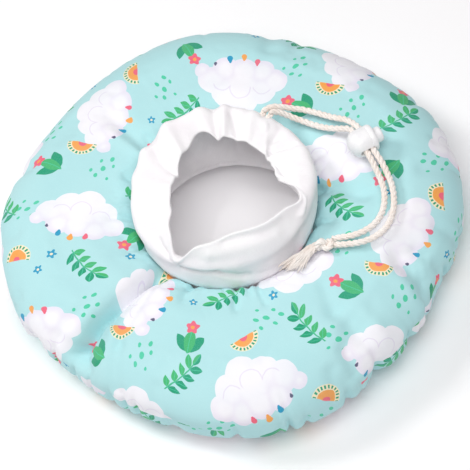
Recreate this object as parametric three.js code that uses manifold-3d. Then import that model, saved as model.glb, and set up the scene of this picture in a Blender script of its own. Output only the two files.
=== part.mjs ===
// Cat recovery collar: a stuffed cloth ring with a thin cotton sleeve sewn to its neck hole.
// The sleeve's hem holds a drawstring, whose two strands leave by a buttonhole, pass through
// a cord lock with a sprung button and end together in a knot and a frayed tassel.
// Millimetres, +Z up. The origin is on the floor under the middle of the ring.
// Angles are in degrees: around the ring from +X towards +Y, and across its section from the
// outer seam (0) over the crown (90) to the inner seam (180) and the underside (270).

import * as THREE from "three";
import * as BufferGeometryUtils from "three/addons/utils/BufferGeometryUtils.js";
import Module from "manifold-3d";

const wasm = await Module();
wasm.setup();

// Stuffed ring
const RING_OUTER_RADIUS = 140;
const NECK_HOLE_RADIUS = 49;
const RING_THICKNESS = 57.5;
const SEAM_HEIGHT = 29;
const FLAT_WIDTH = 40;
const SEAM_PINCH = 1.5;
const PINCH_SPREAD = 0.22;
const CENTRE_SHIFT = { x: -0.9, y: 0.7 };

// Neck sleeve
const CLOTH_THICKNESS = 1.2;
const HEM_THICKNESS = 2.4;
const SLEEVE_FLARE = 8;
const SLEEVE_RISE = 48;
const RIM_TUCK = 17;
const SEAM_CLEARANCE = 0.5;
const SEAM_EDGE_ACROSS = 184;
const SEAM_TOP_ACROSS = 167;

// Drawstring, and the channel that it runs in. CHANNEL_SNUG is the share of the clearance at
// the exit bends. The channel's shoulder and foot lie out from its middle by shares of its
// full thickness, with the cloth's thickness there as shares of the channel's and the cloth's.
const CORD_DIAMETER = 4;
const CHANNEL_CLEARANCE = 0.5;
const CHANNEL_WALL = 1.1;
const CHANNEL_SNUG = 0.45;
const CHANNEL_SHOULDER = { out: 0.3, thickness: 0.82 };
const CHANNEL_FOOT = { out: 0.58, below: 1.4, above: 1.1 };
const EXIT_ANGLE = 51;
const EXIT_SPACING = 4.5;
const EXIT_BEND = 3;
const EXIT_STUB = 1;
const EXIT_CLEARANCE = 1.1;
const EXIT_CUT_PAST = 3;
const REST_CLEARANCE = 0.35;

// Cord lock
const BARREL_DIAMETER = 17;
const BARREL_DOME = 6.8;
const BARREL_EDGE = 2;
const LOCK_WALL = 1.5;
const LOCK_END_WALL = 2.5;
const LOCK_CLEARANCE = 0.3;
const BUTTON_DIAMETER = 9.6;
const BUTTON_EDGE = 1.6;
const BUTTON_STAND_OUT = 4.8;
const BUTTON_TRAVEL = 2.5;
const STRAND_SPACING = 4.3;
const WINDOW_SLACK = 1.5;
const LOCK_AXIS_ANGLE = 15;
const LOCK_DOME_END = { x: 77.7, y: 9.2 };

// Knot and tassel
const KNOT = { length: 10.5, width: 8.6, depth: 8.2, x: 49.6, y: -47.4, z: 57.6, turn: 168, drop: 8 };
const TASSEL_LOCK_DIAMETER = 3.4;
const TASSEL_TAPER = 0.35;
const TASSEL_ARCH = 1.5;
const KNOT_RIDGE = 0.07;
const TASSEL_LOCKS = 7;
const TASSEL_HEAD = 0.85;
const KNOT_TURNS = 3;
const KNOT_LEAN = 4;

// Fineness of the facets
const STEPS_AROUND = 72;
const STEPS_ACROSS = 24;
const CORD_SIDES = 8;
const LOOP_STEPS = 48;
const STRAND_STEPS = 20;
const LATHE_SIDES = 20;

// Outline of the ring seen from above: reach is a share of RING_OUTER_RADIUS
const OUTLINE = [
  { at: 0, reach: 1.022 },
  { at: 15, reach: 1.018 },
  { at: 30, reach: 0.986 },
  { at: 45, reach: 0.973 },
  { at: 60, reach: 0.978 },
  { at: 75, reach: 1.007 },
  { at: 90, reach: 1.029 },
  { at: 105, reach: 1.012 },
  { at: 120, reach: 0.987 },
  { at: 135, reach: 0.976 },
  { at: 150, reach: 0.997 },
  { at: 165, reach: 1.021 },
  { at: 180, reach: 1.008 },
  { at: 195, reach: 1.004 },
  { at: 210, reach: 0.964 },
  { at: 225, reach: 0.965 },
  { at: 240, reach: 0.984 },
  { at: 255, reach: 1.019 },
  { at: 270, reach: 1.04 },
  { at: 285, reach: 1.021 },
  { at: 300, reach: 0.988 },
  { at: 315, reach: 0.98 },
  { at: 326, reach: 0.958 },
  { at: 337, reach: 0.993 },
  { at: 348, reach: 1.012 },
];

// Creases of the ring: each runs from (at, across) to (toAt, toAcross), and its depth and
// half-width are shares of RING_THICKNESS
const CREASES = [
  { at: 215, across: 140, toAt: 217, toAcross: 20, depth: 0.11, width: 0.1 },
  { at: 123, across: 80, toAt: 126, toAcross: 122, depth: 0.05, width: 0.11 },
  { at: 3, across: 134, toAt: 352, toAcross: 118, depth: 0.06, width: 0.13 },
  { at: 298, across: 76, toAt: 297, toAcross: 44, depth: 0.045, width: 0.09 },
  { at: 292, across: 48, toAt: 291, toAcross: 22, depth: 0.05, width: 0.07 },
  { at: 324, across: 58, toAt: 321, toAcross: 28, depth: 0.06, width: 0.1 },
];

// Sections of the sleeve, each at its middle line. belly and shoulder are shares of
// SLEEVE_FLARE outside the inner seam, rim is a share of RIM_TUCK inside it, and each Up
// is a share of SLEEVE_RISE above the seam.
const SLEEVE = [
  { at: 0, belly: 0.72, bellyUp: 0.5, shoulder: 0.48, shoulderUp: 0.8, rim: 0.84, rimUp: 0.89 },
  { at: 30, belly: 0.76, bellyUp: 0.53, shoulder: 0.5, shoulderUp: 0.82, rim: 0.94, rimUp: 0.9 },
  { at: 60, belly: 0.85, bellyUp: 0.58, shoulder: 0.57, shoulderUp: 0.87, rim: 0.88, rimUp: 0.91 },
  { at: 90, belly: 0.95, bellyUp: 0.6, shoulder: 0.65, shoulderUp: 0.92, rim: 0.7, rimUp: 0.9 },
  { at: 120, belly: 0.86, bellyUp: 0.57, shoulder: 0.6, shoulderUp: 0.88, rim: 0.8, rimUp: 0.87 },
  { at: 150, belly: 0.8, bellyUp: 0.48, shoulder: 0.47, shoulderUp: 0.73, rim: 1.06, rimUp: 0.84 },
  { at: 180, belly: 0.74, bellyUp: 0.38, shoulder: 0.44, shoulderUp: 0.63, rim: 0.94, rimUp: 0.82 },
  { at: 210, belly: 0.56, bellyUp: 0.34, shoulder: 0.26, shoulderUp: 0.6, rim: 0.42, rimUp: 0.83 },
  { at: 240, belly: 0.45, bellyUp: 0.32, shoulder: 0.04, shoulderUp: 0.64, rim: 0.27, rimUp: 0.92 },
  { at: 270, belly: 0.48, bellyUp: 0.32, shoulder: -0.04, shoulderUp: 0.67, rim: 0.6, rimUp: 0.99 },
  { at: 300, belly: 0.5, bellyUp: 0.34, shoulder: 0.02, shoulderUp: 0.69, rim: 0.42, rimUp: 0.99 },
  { at: 330, belly: 0.6, bellyUp: 0.44, shoulder: 0.26, shoulderUp: 0.75, rim: 0.34, rimUp: 0.94 },
];

// Folds of the hem: each pushes the rim in or out by a share of RIM_TUCK over a half-width
// in degrees, and lifts it by a share of SLEEVE_RISE
const HEM_FOLDS = [
  { at: 98, width: 10, push: 0.38, lift: -0.02 },
  { at: 82, width: 8, push: -0.12, lift: 0.02 },
  { at: 332, width: 9, push: 0.36, lift: -0.03 },
  { at: 354, width: 8, push: -0.14, lift: 0.01 },
  { at: 144, width: 8, push: -0.12, lift: 0.02 },
  { at: 194, width: 9, push: -0.16, lift: 0 },
];

// Free strands, from the buttonhole through the lock to the knot: points in millimetres,
// chosen where the cord lies
const STRAND_OUTER = [
  [33.65, 46.94, 70.0],
  [35.1, 48.7, 69.8],
  [38.6, 50.5, 68.9],
  [42.6, 51.1, 67.2],
  [47.0, 50.9, 65.0],
  [51.8, 50.2, 62.8],
  [57.6, 48.6, 61.4],
  [65.0, 44.0, 61.4],
  [73.2, 37.4, 62.6],
  [81.6, 30.6, 65.0],
  [87.2, 21.6, 66.35],
  [89.7, 12.4, 66.35],
  [92.1, 3.2, 66.35],
  [94.6, -4.0, 64.0],
  [96.2, -10.8, 60.9],
  [97.0, -19.6, 60.2],
  [95.7, -30.4, 60.0],
  [92.2, -40.2, 59.9],
  [86.5, -47.6, 59.9],
  [78.6, -52.0, 60.0],
  [69.8, -53.1, 59.8],
  [62.0, -51.7, 59.1],
  [54.8, -49.6, 58.3],
];
const STRAND_INNER = [
  [37.3, 44.3, 70.0],
  [38.7, 45.9, 69.6],
  [41.6, 46.8, 68.0],
  [45.4, 46.2, 65.4],
  [49.8, 44.4, 62.6],
  [54.8, 41.6, 60.8],
  [61.0, 37.2, 60.0],
  [68.0, 31.8, 61.2],
  [75.2, 27.0, 63.8],
  [80.2, 24.0, 65.8],
  [83.1, 20.5, 66.35],
  [85.5, 11.3, 66.35],
  [88.0, 2.1, 66.35],
  [89.8, -5.2, 63.6],
  [91.2, -12.0, 60.7],
  [91.8, -19.6, 60.2],
  [90.4, -28.4, 60.1],
  [86.8, -36.8, 60.0],
  [81.2, -42.8, 60.0],
  [74.2, -46.0, 59.8],
  [66.8, -46.8, 59.3],
  [60.8, -46.0, 58.7],
  [55.1, -45.3, 58.3],
];

// Tassel: the middle of its root, and the left, middle and right of its spread end, laid on
// the ring beside the sleeve
const TASSEL_ROOT = [41.6, -46.0, 55.6];
const TASSEL_LEFT = [20.4, -51.0, 52.8];
const TASSEL_MIDDLE = [25.4, -53.6, 49.9];
const TASSEL_RIGHT = [32.4, -58.6, 53.6];

const radians = THREE.MathUtils.degToRad;
const cordRadius = CORD_DIAMETER / 2;
const channelRadius = cordRadius + CHANNEL_CLEARANCE;

// Smooth closed curve through the rows of a table, read at any angle
function around(table, column, angle) {
  const turn = THREE.MathUtils.euclideanModulo(angle - table[0].at, 360) + table[0].at;
  const count = table.length;
  let row = count - 1;
  while (table[row].at > turn) {
    row -= 1;
  }
  const value = (index) => table[(index + count) % count][column];
  const place = (index) => table[(index + count) % count].at + 360 * Math.floor(index / count);
  const share = (turn - place(row)) / (place(row + 1) - place(row));
  const slopeHere = (value(row + 1) - value(row - 1)) / (place(row + 1) - place(row - 1));
  const slopeNext = (value(row + 2) - value(row)) / (place(row + 2) - place(row));
  const span = place(row + 1) - place(row);
  const s2 = share * share;
  const s3 = s2 * share;
  return (
    (2 * s3 - 3 * s2 + 1) * value(row) +
    (s3 - 2 * s2 + share) * span * slopeHere +
    (3 * s2 - 2 * s3) * value(row + 1) +
    (s3 - s2) * span * slopeNext
  );
}

// Signed difference of two angles, within half a turn
function turnBetween(angle, other) {
  return THREE.MathUtils.euclideanModulo(angle - other + 180, 360) - 180;
}

// How far the creases draw the cloth in at one place of the ring
function creaseDepth(angle, across, middleRadius, sectionRadius) {
  let depth = 0;
  for (const crease of CREASES) {
    const aroundScale = radians(1) * middleRadius;
    const acrossScale = radians(1) * sectionRadius;
    const run = turnBetween(crease.toAt, crease.at) * aroundScale;
    const climb = (crease.toAcross - crease.across) * acrossScale;
    const u = turnBetween(angle, crease.at) * aroundScale;
    const v = (across - crease.across) * acrossScale;
    const along = THREE.MathUtils.clamp((u * run + v * climb) / (run * run + climb * climb), 0, 1);
    const away = Math.hypot(u - along * run, v - along * climb);
    const width = crease.width * RING_THICKNESS;
    depth += crease.depth * RING_THICKNESS * Math.exp(-((away / width) ** 2));
  }
  return depth;
}

// Point of the ring's cloth at an angle around and an angle across, with an outward offset
function ringPoint(angle, across, offset = 0) {
  const outer = RING_OUTER_RADIUS * around(OUTLINE, "reach", angle);
  const middle = (outer + NECK_HOLE_RADIUS) / 2;
  const halfWidth = (outer - NECK_HOLE_RADIUS) / 2;
  const crown = RING_THICKNESS - SEAM_HEIGHT;
  const below = SEAM_HEIGHT / Math.sqrt(1 - (FLAT_WIDTH / 2 / halfWidth) ** 2);
  const cos = Math.cos(radians(across));
  const sin = Math.sin(radians(across));
  const halfHeight = sin > 0 ? crown : below;
  const pinch = SEAM_PINCH * Math.exp(-((sin / PINCH_SPREAD) ** 2));
  const inward = creaseDepth(angle, across, middle, (halfWidth + crown) / 2) + pinch - offset;
  const normal = new THREE.Vector2(cos / halfWidth, sin / halfHeight).normalize();
  const radius = middle + halfWidth * cos - inward * normal.x;
  const height = Math.max(0, SEAM_HEIGHT + halfHeight * sin - inward * normal.y);
  return polar(radius, angle, height);
}

function polar(radius, angle, height) {
  const x = radius * Math.cos(radians(angle)) + CENTRE_SHIFT.x;
  const y = radius * Math.sin(radians(angle)) + CENTRE_SHIFT.y;
  return new THREE.Vector3(x, y, height);
}

// Closed body from rows of points: each row closes on itself, and so does the row of rows
function closedGrid(rows) {
  const width = rows[0].length;
  const positions = rows.flat().flatMap((point) => point.toArray());
  const indices = [];
  for (let row = 0; row < rows.length; row++) {
    const next = (row + 1) % rows.length;
    for (let column = 0; column < width; column++) {
      const beside = (column + 1) % width;
      const here = row * width;
      const ahead = next * width;
      indices.push(here + column, ahead + column, ahead + beside);
      indices.push(here + column, ahead + beside, here + beside);
    }
  }
  const geometry = new THREE.BufferGeometry();
  geometry.setAttribute("position", new THREE.Float32BufferAttribute(positions, 3));
  geometry.setIndex(indices);
  return geometry;
}

// Boolean bodies
function toSolid(geometry) {
  const bare = geometry.clone();
  bare.deleteAttribute("normal");
  bare.deleteAttribute("uv");
  const merged = BufferGeometryUtils.mergeVertices(bare, 1e-4);
  const vertProperties = new Float32Array(merged.attributes.position.array);
  const triVerts = new Uint32Array(merged.index.array);
  return new wasm.Manifold(new wasm.Mesh({ numProp: 3, vertProperties, triVerts }));
}

function toGeometry(solid) {
  const mesh = solid.getMesh();
  const geometry = new THREE.BufferGeometry();
  geometry.setAttribute("position", new THREE.Float32BufferAttribute(mesh.vertProperties, mesh.numProp));
  geometry.setIndex(Array.from(mesh.triVerts));
  return geometry;
}

// Round tube along a smooth line through points
function tube(points, radius, steps, sides = CORD_SIDES) {
  const section = new THREE.Shape();
  for (let side = 0; side < sides; side++) {
    const angle = (2 * Math.PI * side) / sides;
    const corner = [radius * Math.cos(angle), radius * Math.sin(angle)];
    if (side === 0) {
      section.moveTo(...corner);
    } else {
      section.lineTo(...corner);
    }
  }
  section.closePath();
  const path = new THREE.CatmullRomCurve3(points, false, "centripetal");
  return new THREE.ExtrudeGeometry(section, { steps, bevelEnabled: false, extrudePath: path });
}

function paddedRing() {
  const rows = [];
  for (let step = 0; step < STEPS_AROUND; step++) {
    const row = [];
    for (let side = 0; side < STEPS_ACROSS; side++) {
      row.push(ringPoint((360 * step) / STEPS_AROUND, (360 * side) / STEPS_ACROSS));
    }
    rows.push(row);
  }
  return closedGrid(rows);
}

// Middle line of the sleeve's cloth at one angle, as points of radius (x) and height (y)
function sleeveLine(angle) {
  const read = (column) => around(SLEEVE, column, angle);
  const inset = -SEAM_CLEARANCE - CLOTH_THICKNESS / 2;
  const flat = (point) => {
    return new THREE.Vector2(Math.hypot(point.x - CENTRE_SHIFT.x, point.y - CENTRE_SHIFT.y), point.z);
  };
  const seamEdge = flat(ringPoint(angle, SEAM_EDGE_ACROSS, -inset));
  const seamTop = flat(ringPoint(angle, SEAM_TOP_ACROSS, -inset));
  const height = (column) => SEAM_HEIGHT + SLEEVE_RISE * read(column);
  const belly = new THREE.Vector2(NECK_HOLE_RADIUS + SLEEVE_FLARE * read("belly"), height("bellyUp"));
  const shoulder = new THREE.Vector2(
    NECK_HOLE_RADIUS + SLEEVE_FLARE * read("shoulder"),
    height("shoulderUp"),
  );
  const rim = new THREE.Vector2(NECK_HOLE_RADIUS - RIM_TUCK * read("rim"), height("rimUp"));
  for (const fold of HEM_FOLDS) {
    const reach = Math.exp(-((turnBetween(angle, fold.at) / fold.width) ** 2));
    rim.x += fold.push * RIM_TUCK * reach;
    rim.y += fold.lift * SLEEVE_RISE * reach;
  }
  return { seamEdge, seamTop, belly, shoulder, rim };
}

// Stations along the middle line, each with the cloth's thickness there
function sleeveStations(angle) {
  const line = sleeveLine(angle);
  const bulge = 2 * (channelRadius + CHANNEL_WALL);
  const curve = new THREE.SplineCurve([line.seamEdge, line.seamTop, line.belly, line.shoulder, line.rim]);
  curve.arcLengthDivisions = 400;
  const lengths = curve.getLengths();
  const lengthTo = (share) => lengths[Math.round((lengths.length - 1) * share)];
  const total = lengthTo(1);
  const toTop = lengthTo(0.25);
  const toShoulder = lengthTo(0.75);
  const near = bulge * CHANNEL_SHOULDER.out;
  const far = bulge * CHANNEL_FOOT.out;
  const wallBelow = (share) => THREE.MathUtils.lerp(toTop, toShoulder - far, share);
  const hemAbove = (share) => THREE.MathUtils.lerp(toShoulder + far, total, share);
  const places = [
    { length: 0, thickness: CLOTH_THICKNESS },
    { length: toTop, thickness: CLOTH_THICKNESS },
    { length: wallBelow(0.33), thickness: CLOTH_THICKNESS },
    { length: wallBelow(0.67), thickness: CLOTH_THICKNESS },
    { length: wallBelow(1), thickness: CLOTH_THICKNESS * CHANNEL_FOOT.below },
    { length: toShoulder - near, thickness: bulge * CHANNEL_SHOULDER.thickness },
    { length: toShoulder, thickness: bulge },
    { length: toShoulder + near, thickness: bulge * CHANNEL_SHOULDER.thickness },
    { length: hemAbove(0), thickness: HEM_THICKNESS * CHANNEL_FOOT.above },
    { length: hemAbove(0.5), thickness: HEM_THICKNESS },
    { length: total, thickness: HEM_THICKNESS },
  ];
  return places.map(({ length, thickness }) => {
    const share = length / total;
    const point = curve.getPointAt(share);
    const tangent = curve.getTangentAt(share);
    return { point, tangent, thickness };
  });
}

function channelPoint(angle) {
  const { shoulder } = sleeveLine(angle);
  return polar(shoulder.x, angle, shoulder.y);
}

// The drawstring's way inside the sleeve: out of the buttonhole on both sides of EXIT_ANGLE
function exitBend(side, extra) {
  const start = channelPoint(EXIT_ANGLE);
  const outward = new THREE.Vector3(Math.cos(radians(EXIT_ANGLE)), Math.sin(radians(EXIT_ANGLE)), 0);
  const sideways = new THREE.Vector3(-outward.y, outward.x, 0).multiplyScalar(side);
  const place = (out, across) => {
    return start.clone().addScaledVector(outward, out).addScaledVector(sideways, across);
  };
  const points = [place(EXIT_BEND + EXIT_STUB + extra, EXIT_SPACING / 2)];
  for (const turn of [0, 30, 60]) {
    const out = EXIT_BEND * (1 - Math.sin(radians(turn)));
    points.push(place(out, EXIT_SPACING / 2 + EXIT_BEND * (1 - Math.cos(radians(turn)))));
  }
  return points;
}

function channelArc() {
  const start = channelPoint(EXIT_ANGLE);
  const radius = Math.hypot(start.x - CENTRE_SHIFT.x, start.y - CENTRE_SHIFT.y);
  const away = THREE.MathUtils.radToDeg((EXIT_SPACING / 2 + EXIT_BEND) / radius);
  const points = [];
  const count = 30;
  for (let step = 0; step <= count; step++) {
    points.push(channelPoint(EXIT_ANGLE + away + ((360 - 2 * away) * step) / count));
  }
  return points;
}

// The stretch of the drawstring that the sleeve holds, as a tube of any radius
function heldStretch(radius) {
  const points = [...exitBend(1, 0), ...channelArc(), ...exitBend(-1, 0).reverse()];
  return tube(points, radius, LOOP_STEPS);
}

function neckSleeve() {
  const rows = [];
  for (let step = 0; step < STEPS_AROUND; step++) {
    const angle = (360 * step) / STEPS_AROUND;
    const outside = [];
    const inside = [];
    for (const { point, tangent, thickness } of sleeveStations(angle)) {
      const reach = thickness / 2;
      outside.push(polar(point.x + tangent.y * reach, angle, point.y - tangent.x * reach));
      inside.push(polar(point.x - tangent.y * reach, angle, point.y + tangent.x * reach));
    }
    rows.push([...outside, ...inside.reverse()]);
  }
  let sleeve = toSolid(closedGrid(rows));
  const arc = channelArc();
  sleeve = sleeve.subtract(toSolid(heldStretch(cordRadius + CHANNEL_CLEARANCE * CHANNEL_SNUG)));
  sleeve = sleeve.subtract(toSolid(tube(arc, channelRadius, LOOP_STEPS - 4)));
  for (const side of [1, -1]) {
    const [end, neighbour] = side > 0 ? arc : arc.toReversed();
    const way = [...exitBend(side, EXIT_CUT_PAST), end, neighbour];
    sleeve = sleeve.subtract(toSolid(tube(way, cordRadius + EXIT_CLEARANCE, 8)));
  }
  return toGeometry(sleeve);
}

function strand(route) {
  return tube(route.map((point) => new THREE.Vector3(...point)), cordRadius, STRAND_STEPS);
}

// Cord lock, built along its own axis from the dome end (0) towards the button
const buttonInnerEnd = LOCK_WALL + LOCK_CLEARANCE + BUTTON_TRAVEL;
const slotStart = buttonInnerEnd + LOCK_WALL;
const firstStrand = slotStart + LOCK_CLEARANCE + cordRadius;
const secondStrand = firstStrand + STRAND_SPACING;
const windowEnd = secondStrand + cordRadius + LOCK_CLEARANCE;
const slotEnd = windowEnd + BUTTON_TRAVEL;
const barrelEnd = windowEnd + LOCK_END_WALL;
const buttonEnd = barrelEnd + BUTTON_STAND_OUT;
const windowHeight = CORD_DIAMETER + 2 * REST_CLEARANCE;

// Body turned about the lock's axis, from points of radius and length
function turned(points) {
  const profile = points.map(([radius, length]) => new THREE.Vector2(radius, length));
  return new THREE.LatheGeometry(profile, LATHE_SIDES);
}

// Long hole with round ends across the axis, which lets both strands through
function crossHole(start, end) {
  const radius = windowHeight / 2;
  const shape = new THREE.Shape();
  shape.absarc(0, end - radius, radius, 0, Math.PI);
  shape.absarc(0, start + radius, radius, Math.PI, 2 * Math.PI);
  shape.closePath();
  const depth = 1.2 * BARREL_DIAMETER;
  const hole = new THREE.ExtrudeGeometry(shape, { depth, bevelEnabled: false, curveSegments: 4 });
  return hole.translate(0, 0, -depth / 2).rotateY(Math.PI / 2);
}

function lockBarrel() {
  const radius = BARREL_DIAMETER / 2;
  const bore = BUTTON_DIAMETER / 2 + LOCK_CLEARANCE;
  const dome = [0, 18, 36, 54, 72, 90].map((angle) => {
    return [radius * Math.sin(radians(angle)), BARREL_DOME * (1 - Math.cos(radians(angle)))];
  });
  const body = turned([
    ...dome,
    [radius, barrelEnd - BARREL_EDGE],
    [radius - BARREL_EDGE * 0.3, barrelEnd - BARREL_EDGE * 0.3],
    [radius - BARREL_EDGE, barrelEnd],
    [bore, barrelEnd],
    [bore, LOCK_WALL],
    [0, LOCK_WALL],
  ]);
  return toGeometry(toSolid(body).subtract(toSolid(crossHole(slotStart - WINDOW_SLACK, windowEnd))));
}

function lockButton() {
  const radius = BUTTON_DIAMETER / 2;
  const body = turned([
    [0, buttonInnerEnd],
    [radius, buttonInnerEnd],
    [radius, buttonEnd - BUTTON_EDGE],
    [radius - BUTTON_EDGE * 0.3, buttonEnd - BUTTON_EDGE * 0.3],
    [radius - BUTTON_EDGE, buttonEnd],
    [0, buttonEnd],
  ]);
  return toGeometry(toSolid(body).subtract(toSolid(crossHole(slotStart, slotEnd))));
}

// Knot: an egg of cord with the ridges of its turns
function knot() {
  const egg = new THREE.SphereGeometry(1, 14, 10);
  const position = egg.attributes.position;
  const point = new THREE.Vector3();
  for (let index = 0; index < position.count; index++) {
    point.fromBufferAttribute(position, index);
    const turn = KNOT_TURNS * Math.atan2(point.z, point.x) + KNOT_LEAN * point.y;
    const groove = (1 - Math.cos(turn)) * (1 - point.y ** 2);
    const ridge = 1 - KNOT_RIDGE * groove;
    position.setXYZ(
      index,
      (point.y * KNOT.length) / 2,
      (point.x * ridge * KNOT.width) / 2,
      (-point.z * ridge * KNOT.depth) / 2,
    );
  }
  return egg;
}

// Tapering tube from a round root to a narrower end
function taperingTube(start, middle, end) {
  const curve = new THREE.QuadraticBezierCurve3(start, middle, end);
  const steps = 4;
  const sides = 6;
  const frames = curve.computeFrenetFrames(steps, false);
  const rings = [];
  for (let step = 0; step <= steps; step++) {
    const share = step / steps;
    const centre = curve.getPointAt(share);
    const radius = (TASSEL_LOCK_DIAMETER / 2) * (1 - TASSEL_TAPER * share);
    const ring = [];
    for (let side = 0; side < sides; side++) {
      const angle = (2 * Math.PI * side) / sides;
      const spoke = centre.clone().addScaledVector(frames.normals[step], radius * Math.cos(angle));
      ring.push(spoke.addScaledVector(frames.binormals[step], radius * Math.sin(angle)));
    }
    rings.push(ring);
  }
  const positions = rings.flat().flatMap((spoke) => spoke.toArray());
  const indices = [];
  for (let step = 0; step < steps; step++) {
    for (let side = 0; side < sides; side++) {
      const beside = (side + 1) % sides;
      const low = step * sides;
      const high = low + sides;
      indices.push(low + side, low + beside, high + beside, low + side, high + beside, high + side);
    }
  }
  const last = steps * sides;
  for (let side = 1; side < sides - 1; side++) {
    indices.push(0, side + 1, side, last, last + side, last + side + 1);
  }
  const geometry = new THREE.BufferGeometry();
  geometry.setAttribute("position", new THREE.Float32BufferAttribute(positions, 3));
  geometry.setIndex(indices);
  return geometry;
}

function tassel() {
  const root = new THREE.Vector3(...TASSEL_ROOT);
  const spread = new THREE.QuadraticBezierCurve3(
    new THREE.Vector3(...TASSEL_LEFT),
    new THREE.Vector3(...TASSEL_MIDDLE),
    new THREE.Vector3(...TASSEL_RIGHT),
  );
  const head = new THREE.SphereGeometry(TASSEL_LOCK_DIAMETER * TASSEL_HEAD, 10, 8);
  head.translate(...TASSEL_ROOT);
  let solid = toSolid(head);
  for (let lock = 0; lock < TASSEL_LOCKS; lock++) {
    const share = lock / (TASSEL_LOCKS - 1);
    const end = spread.getPoint(share);
    const across = spread.getTangent(share).multiplyScalar((share - 0.5) * TASSEL_LOCK_DIAMETER);
    const start = root.clone().add(across);
    const middle = start.clone().lerp(end, 0.5);
    middle.z += TASSEL_ARCH;
    solid = solid.add(toSolid(taperingTube(start, middle, end)));
  }
  return toGeometry(solid);
}

function cloth(color, roughness) {
  return new THREE.MeshStandardMaterial({ color, roughness, metalness: 0 });
}

function piece(name, geometry, material) {
  const mesh = new THREE.Mesh(geometry, material);
  mesh.name = name;
  return mesh;
}

const collar = new THREE.Group();
collar.add(piece("padded_ring", paddedRing(), cloth(0xb7e4e6, 0.85)));
collar.add(piece("neck_sleeve", neckSleeve(), cloth(0xf4f1f2, 0.9)));
collar.add(piece("drawstring_loop", heldStretch(cordRadius), cloth(0xf5e8dc, 0.95)));
collar.add(piece("strand_outer", strand(STRAND_OUTER), cloth(0xf5e8dc, 0.95)));
collar.add(piece("strand_inner", strand(STRAND_INNER), cloth(0xf5e8dc, 0.95)));

const lockFrame = new THREE.Group();
const lockHeight = RING_THICKNESS + REST_CLEARANCE + BARREL_DIAMETER / 2;
lockFrame.position.set(LOCK_DOME_END.x, LOCK_DOME_END.y, lockHeight);
lockFrame.rotation.set(0, 0, radians(LOCK_AXIS_ANGLE - 90));
lockFrame.add(piece("lock_barrel", lockBarrel(), cloth(0xf7f7f8, 0.25)));
lockFrame.add(piece("lock_button", lockButton(), cloth(0xf7f7f8, 0.25)));
collar.add(lockFrame);

const knotMesh = piece("cord_knot", knot(), cloth(0xf5e8dc, 0.95));
knotMesh.position.set(KNOT.x, KNOT.y, KNOT.z);
knotMesh.rotation.set(0, radians(KNOT.drop), radians(KNOT.turn), "ZYX");
collar.add(knotMesh);
collar.add(piece("cord_tassel", tassel(), cloth(0xf5e8dc, 0.95)));

export default collar;
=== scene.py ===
import math

import bmesh
import bpy
import numpy as np
from mathutils import Matrix, Vector
from mathutils.bvhtree import BVHTree


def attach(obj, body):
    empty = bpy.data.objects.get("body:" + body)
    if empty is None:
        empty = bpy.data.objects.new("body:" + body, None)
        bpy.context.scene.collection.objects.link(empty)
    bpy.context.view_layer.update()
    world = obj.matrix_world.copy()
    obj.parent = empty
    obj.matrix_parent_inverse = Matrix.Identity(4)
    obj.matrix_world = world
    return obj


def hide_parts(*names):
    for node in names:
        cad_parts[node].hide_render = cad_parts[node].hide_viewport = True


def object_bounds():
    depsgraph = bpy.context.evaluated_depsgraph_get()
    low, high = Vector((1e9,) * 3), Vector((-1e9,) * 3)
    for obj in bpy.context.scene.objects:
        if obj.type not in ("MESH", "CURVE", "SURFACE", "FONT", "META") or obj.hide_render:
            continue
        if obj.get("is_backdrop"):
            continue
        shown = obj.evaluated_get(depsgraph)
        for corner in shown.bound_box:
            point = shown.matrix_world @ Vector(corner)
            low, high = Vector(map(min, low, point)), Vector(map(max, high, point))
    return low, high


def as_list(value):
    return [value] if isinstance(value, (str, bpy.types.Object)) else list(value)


MM = 0.001

# Ring
RING_OUTER_RADIUS = 140
NECK_HOLE_RADIUS = 49
RING_THICKNESS = 57.5
SEAM_HEIGHT = 29
FLAT_WIDTH = 40
SEAM_PINCH = 1.5
PINCH_SPREAD = 0.22
CENTRE = (-0.9, 0.7)
FOLD_SCALE = 1.3
RING_STEPS = 720
SECTION_STEPS = 120
LINING_TO = 236

# Cloth simulation of the ring: its grid, its frames and how far it may move the cover
CLOTH_STEPS = (240, 72)
CLOTH_FRAMES = 20
CLOTH_CAP = 3.2

# Flat cut of the ring's two panels: half-axes of its section, radius of the section's middle
# and place of the underside's panel on the print
CUT_SECTION = (45.5, 28.5)
CUT_MIDDLE = 103
UNDERSIDE_CUT = (413, 212)

# Puckers at the outer and the inner seam: how many, where across, and the ranges of their
# half-width around and reach across, both in degrees, and of their depth in millimetres
PUCKERS = (
    (84, 344, (0.5, 1.5), (14, 42), (0.9, 3.4)),
    (44, 180, (2.0, 4.0), (12, 30), (0.4, 1.1)),
)

# Sleeve
SLEEVE_FLARE = 8
SLEEVE_RISE = 48
RIM_TUCK = 17
SEAM_CLEARANCE = 0.5
CLOTH = 1.2
HEM = 2.2
CHANNEL = 5.6
SHOULDER = 0.75
SLEEVE_STEPS = 360
SLEEVE_MEAN_RADIUS = 48
SLEEVE_LENGTH = 66
SLEEVE_CUT_RADIUS = 50
BUTTONHOLE_DEPTH = 1.6
BUTTONHOLE_TURN = 3.4
BUTTONHOLE_HEIGHT = 2.6

# Drawstring
PLY_RADIUS = 1.02
PLY_OFFSET = 1.0
TWIST_PITCH = 10.5
EXIT_ANGLE = 51
EXIT_SPACING = 4.5
EXIT_BEND = 3
EXIT_STUB = 1
LOOP_INSET = 0.4

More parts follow.
